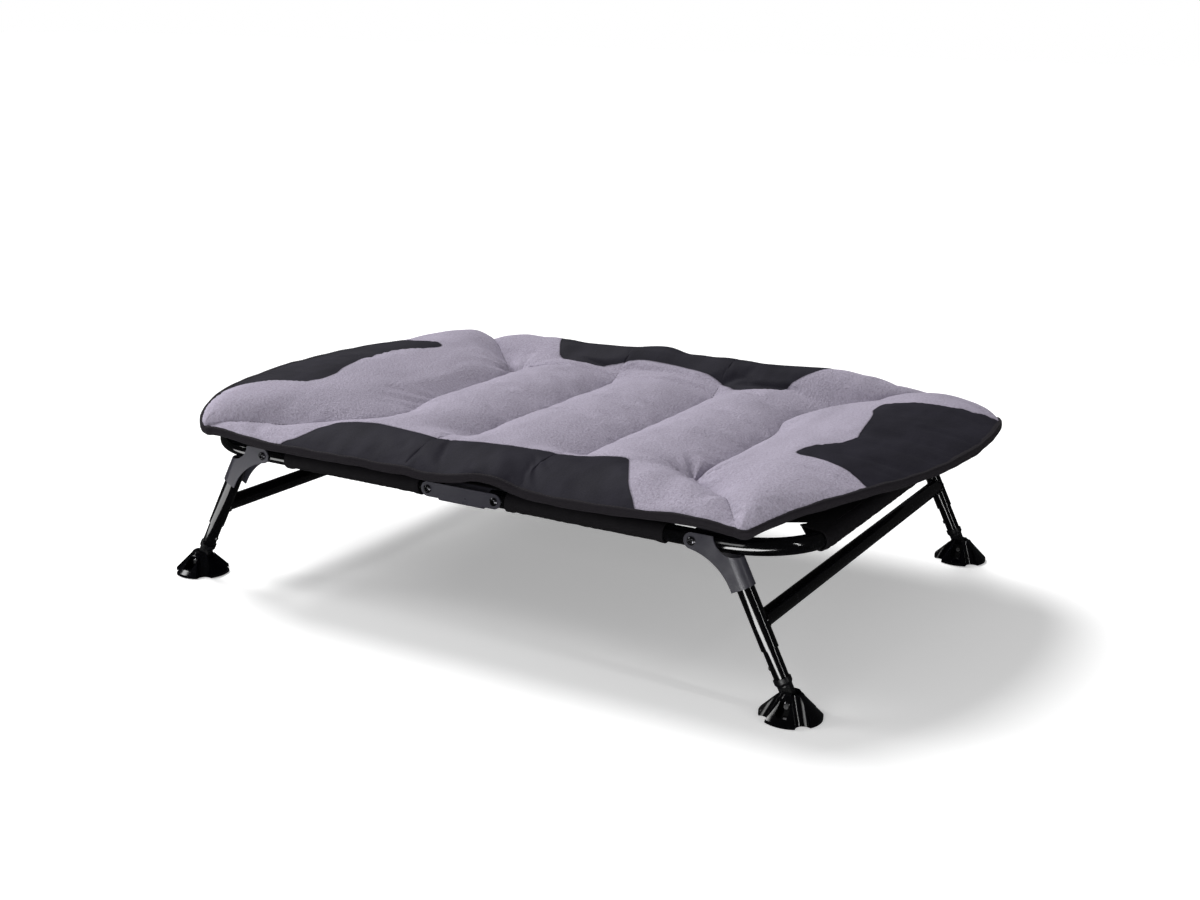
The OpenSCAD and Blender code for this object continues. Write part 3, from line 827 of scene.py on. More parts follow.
DARK_BOLT = HardFinish(
    "blackened_bolt", (0.05, 0.05, 0.054),
    metallic=1.0, roughness=0.22, gloss=0.50, skin=0.00003, scuff=0.5, marks_per_metre=80.0,
)
SHEET_CLOTH = WovenFinish("black_woven_sheet", (0.006, 0.0054, 0.0065), 900.0, 0.0003, 0.72, 0.01)
BINDING_TAPE = WovenFinish("binding_tape", (0.013, 0.0112, 0.0140), 1100.0, 0.0003, 0.70, 0.02)
DARK_THREAD = WovenFinish("dark_thread", (0.020, 0.018, 0.022), 2600.0, 0.0001, 0.6, 0.1)
GREY_THREAD = WovenFinish("grey_thread", (0.14, 0.13, 0.155), 2600.0, 0.0001, 0.6, 0.1)
MATTRESS_COVER = QuiltFinish("fleece_and_charcoal", (0.360, 0.329, 0.404), (0.0165, 0.0155, 0.0215), 0.0025)


@dataclass
class Wardrobe:
    """The materials, each made once.

    Attributes:
        effects: The shared shader groups.
        made: Materials by name.
    """

    effects: SharedEffects = field(default_factory=SharedEffects)
    made: dict[str, bpy.types.Material] = field(default_factory=dict)

    def get(self, finish: HardFinish | WovenFinish | QuiltFinish) -> bpy.types.Material:
        """The material of a finish."""
        if finish.name not in self.made:
            self.made[finish.name] = finish.material(self.effects)
        return self.made[finish.name]


# Frame


@dataclass(frozen=True)
class WeldBead:
    """A weld bead where two tubes of one size meet at right angles.

    Attributes:
        radius: Radius of the bead.
        wobble: Share by which the radius swells and shrinks.
        lump: Turn of that swelling from one ring to the next, in radians.
        off: How far the bead stands off the crossbar and off the leg.
        steps: Rings along the bead.
        sides: Points round the bead.
        guide: A direction that sets how the bead's rings are turned.
    """

    radius: float = 0.0015
    wobble: float = 0.18
    lump: float = 1.9
    off: Point2 = (0.0003, 0.0004)
    steps: int = 96
    sides: int = 8
    guide: Point3 = (0.31, 0.57, 0.76)

    def lay(self, half: Half, end: str, outward: float) -> bpy.types.Object:
        """The bead between a crossbar and an outer leg.

        Args:
            half: The bead's half of the cot.
            end: front or rear.
            outward: Direction of the leg from the middle along Y.

        Returns:
            The bead.
        """
        bar_low, bar_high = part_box(f"crossbar_{half.word}")
        leg_low, leg_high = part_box(f"outer_leg_{end}_{half.word}")
        tube_r = (bar_high.z - bar_low.z) / 2.0
        bar_x, bar_z = (bar_low.x + bar_high.x) / 2.0, (bar_low.z + bar_high.z) / 2.0
        centre = np.array([bar_x, (leg_low.y + leg_high.y) / 2.0, bar_z])
        rise, run = leg_high.z - leg_low.z, leg_high.x - leg_low.x
        lean = math.atan2(run - 2.0 * tube_r, rise)
        along = np.array([half.value * math.sin(lean), 0.0, -math.cos(lean)])
        across = np.cross(along, [0.0, 1.0, 0.0])
        turn = np.linspace(0.0, 2.0 * math.pi, self.steps, endpoint=False)
        off_bar, off_leg = self.off
        back = np.sqrt(np.maximum(tube_r**2 - (tube_r * np.sin(turn)) ** 2, 0.0)) + off_leg
        rim = tube_r + off_bar
        path = centre + rim * (np.outer(np.cos(turn), along) + np.outer(np.sin(turn), across))
        path[:, 1] -= outward * back
        return self._ring(f"weld_{end}_{half.word}", path)

    def _ring(self, name: str, path: np.ndarray) -> bpy.types.Object:
        """A round bead along a closed path, a little uneven.

        Args:
            name: Name of the piece.
            path: Rows of x, y, z.

        Returns:
            The bead.
        """
        ahead = unit(np.roll(path, -1, axis=0) - np.roll(path, 1, axis=0))
        first = unit(np.cross(ahead, np.array(self.guide)))
        second = np.cross(ahead, first)
        swell = self.radius * (1.0 + self.wobble * np.sin(np.arange(len(path)) * self.lump))
        rings = []
        for k in range(self.sides):
            a = 2.0 * math.pi * k / self.sides
            rings.append(path + swell[:, None] * (math.cos(a) * first + math.sin(a) * second))
        points = np.stack(rings, axis=1).reshape(-1, 3)
        return add_piece(name, points, tube_faces(len(path), self.sides, looped=True))


@dataclass
class CotFrame:
    """The metal and plastic frame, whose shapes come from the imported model.

    Attributes:
        nodes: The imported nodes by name.
        subparts: The record's list of nodes and slots.
        bolts: Starts of the names of the blackened bolts.
        bead: The weld beads on the crossbars.
    """

    nodes: dict[str, bpy.types.Object]
    subparts: list[dict]
    bolts: tuple[str, ...] = ("hinge_bolts", "leg_bolts")
    bead: WeldBead = WeldBead()

    def dress(self, wardrobe: Wardrobe) -> None:
        """Gives every hard node its finish.

        Args:
            wardrobe: The materials.
        """
        for row in self.subparts:
            finish = FINISHES.get(row["material_slot"])
            if finish is None:
                continue
            if row["node"].startswith(self.bolts):
                finish = DARK_BOLT
            node = self.nodes[row["node"]]
            node.data.materials.clear()
            node.data.materials.append(wardrobe.get(finish))
            LOG.info("finish %s on %s", finish.name, row["node"])

    def weld_crossbars(self, wardrobe: Wardrobe) -> None:
        """Adds the weld beads where the crossbars meet the outer legs.

        Args:
            wardrobe: The materials.
        """
        for half in Half:
            for end, outward in (("front", -1.0), ("rear", 1.0)):
                bead = self.bead.lay(half, end, outward)
                finish_piece(bead, wardrobe.get(FINISHES["gloss_tube"]))
                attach(bead, f"{half.word}_legs")


@dataclass
class LockSpring:
    """The bent leaf spring in a leg, with its arm at the snap button.

    Attributes:
        corner: The leg that it is in.
        leaf: Thickness of the leaf. It is not used.
    """

    corner: str
    leaf: float = 0.0008

    def build(self, wardrobe: Wardrobe) -> None:
        """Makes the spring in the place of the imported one.

        Args:
            wardrobe: The materials.
        """
        node = f"lock_spring_{self.corner}"
        mesh = bpy.data.objects[node].data
        points = np.array([vertex.co for vertex in mesh.vertices])
        faces = [list(polygon.vertices) for polygon in mesh.polygons]
        spring = add_piece(f"leaf_spring_{self.corner}", points, faces, smooth_faces=False)
        finish_piece(spring, wardrobe.get(FINISHES["bright_steel"]))
        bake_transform(spring)
        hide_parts(node)


# Base sheet


@dataclass
class FoldLine:
    """The fold line of the fabric, where a half of the cot folds up; it only bakes each piece's transform
    into its points.

    Attributes:
        reach: Distance from the middle to where the fabric follows the half. It is not used.
    """

    reach: float = 0.112

    def bend(self, piece: bpy.types.Object) -> None:
        """Bakes a piece's transform into its points; it doesn't make the piece follow the hinge links in the
        middle or its half further out.
        """
        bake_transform(piece)


@dataclass
class BaseSheet:
    """The black sheet that spans the rails, with its sleeves.

    Attributes:
        cells: Cells along a half and across the sheet.
        sag: How far the sheet sags in the middle of a half.
        below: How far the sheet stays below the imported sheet's top.
        end_back: Distance from a rail's bend to where the sheet's end edge starts.
        bracket_gap: Distance from the end of a side sleeve to the leg bracket.
        sleeve_t: Thickness of the sleeve cloth.
        rail_gap: Gap between a rail and its sleeve.
        seam_in: Distance from the rail in to the seam that closes a sleeve.
        cuff: Width of the hem on a sleeve's ends.
        cuff_rise: How far the hem stands off the sleeve.
        cuff_edge: Length over which the hem rises.
        wrinkle: Height of the sleeve's wrinkles.
        wrinkle_size: Size of the wrinkles, and how they are squeezed along and around the sleeve.
        wrinkle_seed: Shift of the wrinkles' noise, and what the halves add to it or take from it.
        bend_r: Radius of the rail's bends.
        bend_wrap: Angle by which an end sleeve runs on into the bends.
        run_points: Points on a bend, on the end rail and on a side rail.
        step: Distance between the rings of a sleeve.
        section_points: Points on the round part of a sleeve's section, and steps on each flat part.
        creases: Angles in degrees past which the sheet's and the sleeves' edges stay sharp.
    """

    cells: tuple[int, int] = (60, 72)
    sag: float = 0.003
    below: float = 0.0001
    end_back: float = 0.010
    bracket_gap: float = 0.0285
    sleeve_t: float = 0.0011
    rail_gap: float = 0.0003
    seam_in: float = 0.024
    cuff: float = 0.010
    cuff_rise: float = 0.0009
    cuff_edge: float = 0.0012
    wrinkle: float = 0.0007
    wrinkle_size: Point3 = (0.016, 1.6, 0.5)
    wrinkle_seed: Point2 = (7.0, 3.0)
    bend_r: float = 0.100
    bend_wrap: float = 0.27
    run_points: tuple[int, int, int] = (7, 100, 80)
    step: float = 0.004
    section_points: tuple[int, int] = (40, 7)
    creases: Point2 = (40.0, 35.0)

    def build(self, wardrobe: Wardrobe, fold: FoldLine) -> None:
        """Makes both halves of the sheet and all the sleeves.

        Args:
            wardrobe: The materials.
            fold: The fold line, which bakes the sheet's transform.
        """
        cloth = wardrobe.get(SHEET_CLOTH)
        for half in Half:
            sleeves = self._sleeves(half)
            for sleeve in sleeves:
                finish_piece(sleeve, cloth)
                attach(sleeve, half.body)
            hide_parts(f"sleeves_{half.word}")
            sheet, area, size = self._sheet(half)
            finish_piece(sheet, cloth)
            fold.bend(sheet)
            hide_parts(f"base_sheet_{half.word}", "base_sheet_middle")

    def _sheet(self, half: Half) -> tuple[bpy.types.Object, float, Point2]:
        """One half of the sheet, from the middle of the cot to its end rail.

        Args:
            half: The half.

        Returns:
            The sheet, its flat area and its flat width and length.
        """
        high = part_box("base_sheet_right")[1]
        strip_low, strip_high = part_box("base_sheet_middle")
        sleeve_end = self._side_end()
        end_y = high.y - self.bend_r - self.end_back
        columns, rows = self.cells
        along, across = np.linspace(0.0, 1.0, columns + 1), np.linspace(-1.0, 1.0, rows + 1)
        u, v = np.meshgrid(along, across, indexing="ij")
        x = u * high.x
        slope = np.clip((x - sleeve_end) / (high.x - sleeve_end), 0.0, 1.0)
        y = v * mix(high.y, end_y, slope)
        top = high.z - self.below - self.sag * np.sin(math.pi * u) * (1.0 - v**2)
        bottom = top - (strip_high.z - strip_low.z)
        upper = np.stack([x, y, top], axis=-1).reshape(-1, 3)
        lower = np.stack([x, y, bottom], axis=-1).reshape(-1, 3)
        points, faces = closed_slab(upper, lower, columns + 1, rows + 1)
        piece = add_piece(f"base_sheet_cloth_{half.word}", half.turn(points), faces)
        crease_at(piece, self.creases[0])
        store_lay(piece, np.concatenate([upper, lower]) * FLAT)
        area = 2.0 * (high.y * sleeve_end + (high.y + end_y) / 2.0 * (high.x - sleeve_end))
        return piece, area, (2.0 * high.y, high.x)

    def _side_end(self) -> float:
        """Where the side sleeves end, short of the leg brackets."""
        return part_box("leg_bracket_front_right")[0].x - self.bracket_gap

    def _sleeves(self, half: Half) -> list[bpy.types.Object]:
        """The two side sleeves and the end sleeve of a half.

        Args:
            half: The half.

        Returns:
            The three sleeves.
        """
        rail_low, rail_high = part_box("rail_right")
        radius = (rail_high.z - rail_low.z) / 2.0
        half_w, half_l = rail_high.y - radius, rail_high.x - radius
        first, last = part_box("base_sheet_right")[0].x, self._side_end()
        on_bend, on_end, on_side = self.run_points
        turn = np.linspace(-self.bend_wrap, 0.0, on_bend + 1)[:-1]
        bend_x = half_l - self.bend_r + self.bend_r * np.cos(turn)
        bend_y = self.bend_r - half_w + self.bend_r * np.sin(turn)
        straight = np.linspace(self.bend_r - half_w, half_w - self.bend_r, on_end)
        end_x = np.concatenate([bend_x, np.full(len(straight), half_l), bend_x[::-1]])
        end_y = np.concatenate([bend_y, straight, -bend_y[::-1]])
        side_x = np.linspace(first, last, on_side)
        runs = {
            "front": np.stack([side_x, np.full_like(side_x, -half_w)], axis=1),
            "end": np.stack([end_x, end_y], axis=1),
            "rear": np.stack([side_x[::-1], np.full_like(side_x, half_w)], axis=1),
        }
        made = []
        for place, run in runs.items():
            path = np.column_stack([run, np.full(len(run), (rail_high.z + rail_low.z) / 2.0)])
            made.append(self._sleeve(f"sleeve_{place}_{half.word}", half, even_path(path, self.step), radius))
        return made

    def _sleeve(self, name: str, half: Half, path: np.ndarray, radius: float) -> bpy.types.Object:
        """One sleeve: the cloth goes over the rail, round it and back up to its seam under the sheet.

        Args:
            name: Name of the piece.
            half: The half that it belongs to.
            path: The rail's centre line on the right half, with the outside on its right.
            radius: Radius of the rail.

        Returns:
            The sleeve.
        """
        inner = radius + self.rail_gap
        section = self._section(inner)
        along = distance_along(path)
        edge = np.minimum(along, along[-1] - along)
        hem = np.clip((self.cuff - edge) / self.cuff_edge, 0.0, 1.0) * self.cuff_rise
        ahead = unit(np.gradient(path, axis=0))
        outward = np.stack([ahead[:, 1], -ahead[:, 0], np.zeros(len(path))], axis=1)
        size, lengthwise, around = self.wrinkle_size
        seed = self.wrinkle_seed[0] + self.wrinkle_seed[1] * half.value
        rings = []
        for place, out, s, rise in zip(path, outward, along, hem):
            squeezed = [np.full(len(section), s * lengthwise), section[:, 0] * around, section[:, 1] * around]
            puff = self.wrinkle * np.abs(ripple(np.stack(squeezed, axis=1), size, seed))
            grow = 1.0 + (self.sleeve_t + rise + puff) / inner
            height = np.minimum(section[:, 1] * grow, inner + self.sleeve_t)
            rings.append(place + np.outer(section[:, 0] * grow, out) + np.outer(height, UP))
        shrink = inner / (inner + self.sleeve_t + self.cuff_rise)
        lips = [path[k] + (rings[k] - path[k]) * shrink for k in (0, -1)]
        layers = [lips[0], *rings, lips[1]]
        faces = tube_faces(len(layers), len(section))
        piece = add_piece(name, half.turn(np.concatenate(layers)), faces)
        crease_at(piece, self.creases[1])
        places = np.concatenate([[0.0], along, along[-1:]])
        store_lay(piece, tube_lay(places, distance_along(section)))
        return piece

    def _section(self, radius: float) -> np.ndarray:
        """The sleeve's outline round the rail's centre: out and up.

        Args:
            radius: Inner radius of the sleeve.

        Returns:
            Rows of out and up.
        """
        on_arc, on_flat = self.section_points
        seam = np.array([-self.seam_in, radius])
        reach = np.linalg.norm(seam)
        spread = math.acos(radius / reach)
        seam_angle = math.atan2(seam[1], seam[0])
        last = seam_angle + spread - 2.0 * math.pi
        turn = np.linspace(math.pi / 2.0, last, on_arc)
        arc = radius * np.stack([np.cos(turn), np.sin(turn)], axis=1)
        top_x = np.linspace(seam[0], 0.0, on_flat + 1)[:-1]
        top = np.stack([top_x, np.full(on_flat, radius)], axis=1)
        back = np.linspace(arc[-1], seam, on_flat + 1)[1:-1]
        return np.concatenate([top, arc, back])


# Mattress


@dataclass(frozen=True)
class Stitching:
    """A run of sewing stitches.

    Attributes:
        length: Length of a stitch.
        pitch: Distance from one stitch to the next.
        radius: Radius of the thread.
        rise: How far a stitch stands off the cloth.
        rings: Place, thickness and rise of each ring of a stitch, as shares of its own.
        sides: Points round a stitch.
    """

    length: float = 0.0036
    pitch: float = 0.0050
    radius: float = 0.00042
    rise: float = 0.00025
    rings: tuple[Point3, ...] = ((-0.5, 0.35, 0.2), (-0.25, 1.0, 1.0), (0.25, 1.0, 1.0), (0.5, 0.35, 0.2))
    sides: int = 6

    def sew(self, name: str, path: np.ndarray, normals: np.ndarray) -> bpy.types.Object:
        """Stitches along a path.

        Args:
            name: Name of the piece.
            path: Rows of x, y, z on the cloth.
            normals: The cloth's normal at each row.

        Returns:
            One piece with all the stitches.
        """
        along = distance_along(path)
        shares = np.array(self.rings)
        offsets, widths, lifts = (shares * np.array([self.length, self.radius, self.rise])).T
        points, faces, lay = [], [], []
        for start in np.arange(self.pitch, along[-1] - self.pitch, self.pitch):
            faces += capped_tube_faces(len(shares), self.sides, len(points))
            spine = rows_at(path, along, start + offsets)
            up = rows_at(normals, along, np.array([start]))[0]
            up /= np.linalg.norm(up)
            forward = spine[-1] - spine[0]
            forward /= np.linalg.norm(forward)
            side = np.cross(forward, up)
            for place, width, lift in zip(spine, widths, lifts):
                for k in range(self.sides):
                    a = 2.0 * math.pi * k / self.sides
                    points.append(place + up * (lift + width * math.sin(a)) + side * width * math.cos(a))
                    lay.append((start, a * width, 0.0))
        piece = add_piece(name, np.array(points), faces)
        store_lay(piece, np.array(lay))
        return piece


@dataclass(frozen=True)
class Stuffing:
    """The pressure of a filling on its cover, as a cloth simulation.

    Attributes:
        pressure: Pressure of the filling.
        slack: Share by which the cover is cut longer than its place.
        bending: Stiffness of the cover against folds.
        quality: Steps of the simulation in a frame.
        frames: Frames that the simulation runs.
        limit: How far a point of the cover may move.
    """

    pressure: float = 4.0
    slack: float = 0.006
    bending: float = 0.4
    quality: int = 4
    frames: int = 20
    limit: float = 0.008

    def swell(self, start: np.ndarray, sewn: np.ndarray, rows: int, columns: int) -> np.ndarray:
        """Runs the simulation on a cover that is held where it is sewn.

        Args:
            start: The cover's points, row by row.
            sewn: Which points stay in place.
            rows: Rows of the grid.
            columns: Points in a row.

        Returns:
            How far each point has moved.
        """
        cover = add_piece("cover_in_simulation", start, grid_faces(rows, columns)[:, ::-1].tolist())
        group = cover.vertex_groups.new(name="sewn")
        group.add(np.flatnonzero(sewn).tolist(), 1.0, "REPLACE")
        self._set_up(cover.modifiers.new("stuffing", "CLOTH"), group.name)
        scene = bpy.context.scene
        for number in range(1, self.frames + 1):
            scene.frame_set(number)
        swollen = cover.evaluated_get(bpy.context.evaluated_depsgraph_get()).to_mesh()
        moved = np.empty(len(start) * 3)
        swollen.vertices.foreach_get("co", moved)
        push = moved.reshape(-1, 3) - start
        scene.frame_set(1)
        bpy.data.meshes.remove(cover.data)
        LOG.info("stuffing moved the cover by up to %.1f mm", 1000.0 * np.abs(push).max())
        length = np.linalg.norm(push, axis=1, keepdims=True)
        return push * np.minimum(1.0, self.limit / np.maximum(length, TINY))

    def _set_up(self, cloth: bpy.types.ClothModifier, held: str) -> None:
        """Gives the simulation its settings.

        Args:
            cloth: The cover's cloth modifier.
            held: Name of the group of points that stay in place.
        """
        settings = cloth.settings
        settings.quality = self.quality
        settings.vertex_group_mass = held
        settings.use_pressure = True
        settings.uniform_pressure_force = self.pressure
        settings.shrink_min = -self.slack
        settings.bending_stiffness = self.bending
        settings.effector_weights.gravity = 0.0
        cloth.collision_settings.use_collision = False
        cloth.point_cache.frame_start, cloth.point_cache.frame_end = 1, self.frames


@dataclass(frozen=True)
class RearRoll:
    """The roll of stuffing along the rear side.

    Attributes:
        rise: Height of the roll.
        tilt: Share by which the roll gets higher in a metre to the right.
        width: Width of the roll.
        slope: Width of its slope.
        middle: Its middle along the cot.
        reach: Half of its length.
        fade: Length over which it ends.
        square: Power of its fall at the edge.
    """

    rise: float = 0.036
    tilt: float = 0.7
    width: float = 0.118
    slope: float = 0.078
    middle: float = -0.010
    reach: float = 0.460
    fade: float = 0.150
    square: float = 16.0

    def height(self, x: np.ndarray, v: np.ndarray, half: Half, half_w: float) -> np.ndarray:
        """The roll's height.

        Args:
            x: Distances from the middle on the right half.
            v: Places across the width from -1 to 1.
            half: The half, whose v runs to the rear on the right and to the front on the left.
            half_w: Half of the mattress's width.

        Returns:
            The rise at each place.
        """
        across = smooth((half.value * v * half_w - half_w + self.width) / self.slope)
        along = smooth((self.reach - np.abs(half.value * x - self.middle)) / self.fade)
        edge = np.sqrt(np.maximum(0.0, 1.0 - np.abs(v) ** self.square))
        return self.rise * (1.0 + self.tilt * half.value * x) * across * along * edge


@dataclass(frozen=True)
class FrontRoll:
    """The roll of stuffing along the front side, from the front panel to the right corner.

    Attributes:
        rise: Height of the roll.
        crest_y: Place of its crest.
        veer: Where the crest veers out to the front, and by how much in a metre.
        width: Width of the roll.
        start: Where it starts to rise, and over which length.
        stop: Where it starts to fall, and over which length.
    """

    rise: float = 0.012
    crest_y: float = -0.288
    veer: Point2 = (0.28, 0.25)
    width: float = 0.030
    start: Point2 = (0.12, 0.12)
    stop: Point2 = (0.36, 0.07)

    def height(self, x: np.ndarray, y: np.ndarray) -> np.ndarray:
        """The roll's height.

        Args:
            x: Distances from the middle.
            y: Places across the width.

        Returns:
            The rise at each place.
        """
        veer_x, veer = self.veer
        crest = self.crest_y - veer * np.maximum(0.0, x - veer_x)
        across = np.exp(-(((y - crest) / self.width) ** 2))
        rising = smooth((x - self.start[0]) / self.start[1])
        falling = smooth((x - self.stop[0]) / self.stop[1])
        return self.rise * across * (rising * (1.0 - falling))


@dataclass(frozen=True)
class CoverFolds:
    """The folds, puckers and slack of the mattress cover.

    Attributes:
        broad: Broad lumps of the filling.
        fine: Fine lumps of the filling.
        seam: Puckers beside a seam.
        seam_reach: How far those reach from the seam, and how close to it they start.
        seam_squeeze: Share of the distance along the cot that they follow, which draws them out.
        rays: Strength, number and turn of each set of folds round a tuft.
        ray: Height of those folds, how far they reach and how close to the tuft they start.
        dimple: Depth and width of a tuft's dimple.
        side: Slack folds in the front panel beside the hinge link.
        side_x: Their middle along the cot and their spread.
        side_y: Distance from the middle line where they start, and over which length.
        side_slant: Their slant, and how they are drawn out across the cot.
        edge: Share of the half width where the edge gets slack, and over which share.
        slack: Slack of the edge.
        rucks: Height, place and width of each place where the front edge rides up, turned for the rear.
    """

    broad: Lumps = Lumps(0.0018, 0.090, 3.7)
    fine: Lumps = Lumps(0.0007, 0.032, 9.1)
    seam: Lumps = Lumps(0.0042, 0.020, 5.3)
    seam_reach: Point2 = (0.022, 0.004)
    seam_squeeze: float = 0.25
    rays: tuple[Point3, ...] = ((1.0, 11.0, -0.8), (0.6, 7.0, 1.1))
    ray: Point3 = (0.0050, 0.042, 0.010)
    dimple: Point2 = (0.008, 0.026)
    side: Lumps = Lumps(0.0048, 0.030, 55.0)
    side_x: Point2 = (-0.045, 0.085)
    side_y: Point2 = (0.245, 0.05)
    side_slant: Point2 = (0.6, 0.35)
    edge: Point2 = (0.72, 0.28)
    slack: Lumps = Lumps(0.0022, 0.075, 21.0)
    rucks: tuple[Point3, ...] = ((0.013, 0.040, 0.042), (0.008, 0.320, 0.080), (0.007, -0.410, 0.060))

    def beside_seam(self, away: np.ndarray, shown: float | np.ndarray, flat: np.ndarray) -> np.ndarray:
        """Short puckers beside a seam.

        Args:
            away: Distance of each point from the seam.
            shown: Share of the puckers that shows at each point.
            flat: Places that the noise follows.

        Returns:
            The push up at each point.
        """
        far, near = self.seam_reach
        close = shown * np.exp(-away / far) * (1.0 - np.exp(-away / near))
        drawn = np.stack([flat[:, 0] * self.seam_squeeze, flat[:, 1], flat[:, 2]], axis=1)
        return self.seam.at(drawn, close)

    def round_tuft(self, dx: np.ndarray, dy: np.ndarray) -> np.ndarray:
        """The dimple of a tuft and the folds that radiate from it.

        Args:
            dx: Distance of each point from the tuft along the cot.
            dy: Distance from the tuft across the cot.

        Returns:
            The push up at each point.
        """
        away = np.hypot(dx, dy)
        angle = np.arctan2(dy, dx)
        rays = sum(strength * np.cos(number * angle + turn) for strength, number, turn in self.rays)
        height, far, near = self.ray
        reach = np.exp(-away / far) * (1.0 - np.exp(-away / near))
        depth, width = self.dimple
        return height * rays * reach - depth * np.exp(-((away / width) ** 2))

    def beside_link(self, top: np.ndarray) -> np.ndarray:
        """Slack folds in the front panel beside the hinge link.

        Args:
            top: The upper points.

        Returns:
            The push up at each point.
        """
        middle, spread = self.side_x
        start, fade = self.side_y
        where = np.exp(-(((top[:, 0] - middle) / spread) ** 2)) * smooth((-top[:, 1] - start) / fade)
        slant, squeeze = self.side_slant
        slanted = [top[:, 0] + slant * top[:, 1], top[:, 1] * squeeze, np.zeros(len(top))]
        return self.side.at(np.stack(slanted, axis=1), where)

    def at_edge(self, top: np.ndarray, flat: np.ndarray, across: np.ndarray) -> tuple[np.ndarray, np.ndarray]:
        """Where the edge rides up, and where it is slack.

        Args:
            top: The upper points.
            flat: Places that the noise follows.
            across: Each point's share of the half width.

        Returns:
            The push up from the rucks and the push from the slack.
        """
        start, fade = self.edge
        near = smooth((across - start) / fade)
        hump = np.zeros(len(top))
        for height, place, width in self.rucks:
            centre = np.where(top[:, 1] < 0.0, place, -place)
            hump += height * np.exp(-(((top[:, 0] - centre) / width) ** 2)) * near
        return hump, self.slack.at(flat) * near


@dataclass
class PadForm:
    """The form of one half of the mattress, as two grids of points.

    Attributes:
        top: The upper points, row by row.
        bottom: The lower points.
        shape: Rows of the grid and points in a row.
    """

    top: np.ndarray
    bottom: np.ndarray
    shape: tuple[int, int]

    def table(self) -> np.ndarray:
        """The upper points as a table, which shares their memory."""
        return self.top.reshape(*self.shape, 3)

    def edge(self) -> np.ndarray:
        """The middle of the outer edge, from the cot's middle round the end and back.

        Returns:
            Rows of x, y, z.
        """
        rims = []
        for grid in (self.top, self.bottom):
            table = grid.reshape(*self.shape, 3)
            rims.append(np.concatenate([table[:, 0], table[-1, 1:-1], table[::-1, -1]]))
        return (rims[0] + rims[1]) / 2.0


@dataclass(frozen=True)
class EdgeBinding:
    """The tape round the mattress's edge and the stitches that hold it.

    Attributes:
        half_h: Half of the tape's height.
        outer: How far it reaches out from the edge.
        inner: How far it reaches in over the edge.
        square: Powers of its section's depth and height, which square its corners.
        points: Points round its section.
        step: Distance between its rings.
        uneven: Share by which its size varies.
        wander: How it rides up and down.
        crease: Angle in degrees past which its edges stay sharp.
        stitch_at: Place of the stitches, as shares of the outer reach and of the half height.
        stitch_lean: How far the stitches lean out.
        stitching: The stitches.
    """

    half_h: float = 0.0058
    outer: float = 0.0040
    inner: float = 0.0075
    square: Point2 = (0.8, 0.65)
    points: int = 18
    step: float = 0.004
    uneven: Lumps = Lumps(0.10, 0.030, 31.0)
    wander: Lumps = Lumps(0.0007, 0.045, 41.0)
    crease: float = 60.0
    stitch_at: Point2 = (0.3, 0.93)
    stitch_lean: float = 0.35
    stitching: Stitching = Stitching()

    def sew_on(self, half: Half, edge: np.ndarray) -> tuple[bpy.types.Object, bpy.types.Object]:
        """The tape and its stitches on one half's edge.

        Args:
            half: The half.
            edge: Rows of x, y, z along the middle of the edge.

        Returns:
            The tape and its stitches.
        """
        path = even_path(edge, self.step)
        ahead = np.gradient(path, axis=0)
        ahead[:, 2] = 0.0
        ahead[0], ahead[-1] = [half.value, 0.0, 0.0], [-half.value, 0.0, 0.0]
        ahead = unit(ahead)
        outward = np.stack([ahead[:, 1], -ahead[:, 0], np.zeros(len(path))], axis=1)
        size, wander = 1.0 + self.uneven.at(path), self.wander.at(path)
        turn = np.linspace(0.0, 2.0 * math.pi, self.points, endpoint=False)
        rings = []
        for depth, height in zip(*self._section(turn)):
            up = UP * (height * size + wander)[:, None]
            rings.append(path + outward * (depth * size)[:, None] + up)
        points = np.stack(rings, axis=1).reshape(-1, 3)
        tape = add_piece(f"edge_binding_{half.word}", points, capped_tube_faces(len(path), self.points))
        crease_at(tape, self.crease)
        store_lay(tape, tube_lay(distance_along(path), turn * self.half_h))
        out, above = self.stitch_at
        line = path + outward * (out * self.outer) + UP * (self.half_h * above * size + wander)[:, None]
        leaning = UP + self.stitch_lean * outward
        return tape, self.stitching.sew(f"binding_stitches_{half.word}", line, leaning)

    def _section(self, turn: np.ndarray) -> tuple[np.ndarray, np.ndarray]:
        """The tape's section: a rounded box that reaches further in than out.

        Args:
            turn: Angles round the section.

        Returns:
            The depth and the height at each angle.
        """
        out, up = np.cos(turn), np.sin(turn)
        deep, high = self.square
        depth = np.where(out > 0.0, self.outer, self.inner) * np.sign(out) * np.abs(out) ** deep
        return depth, self.half_h * np.sign(up) * np.abs(up) ** high


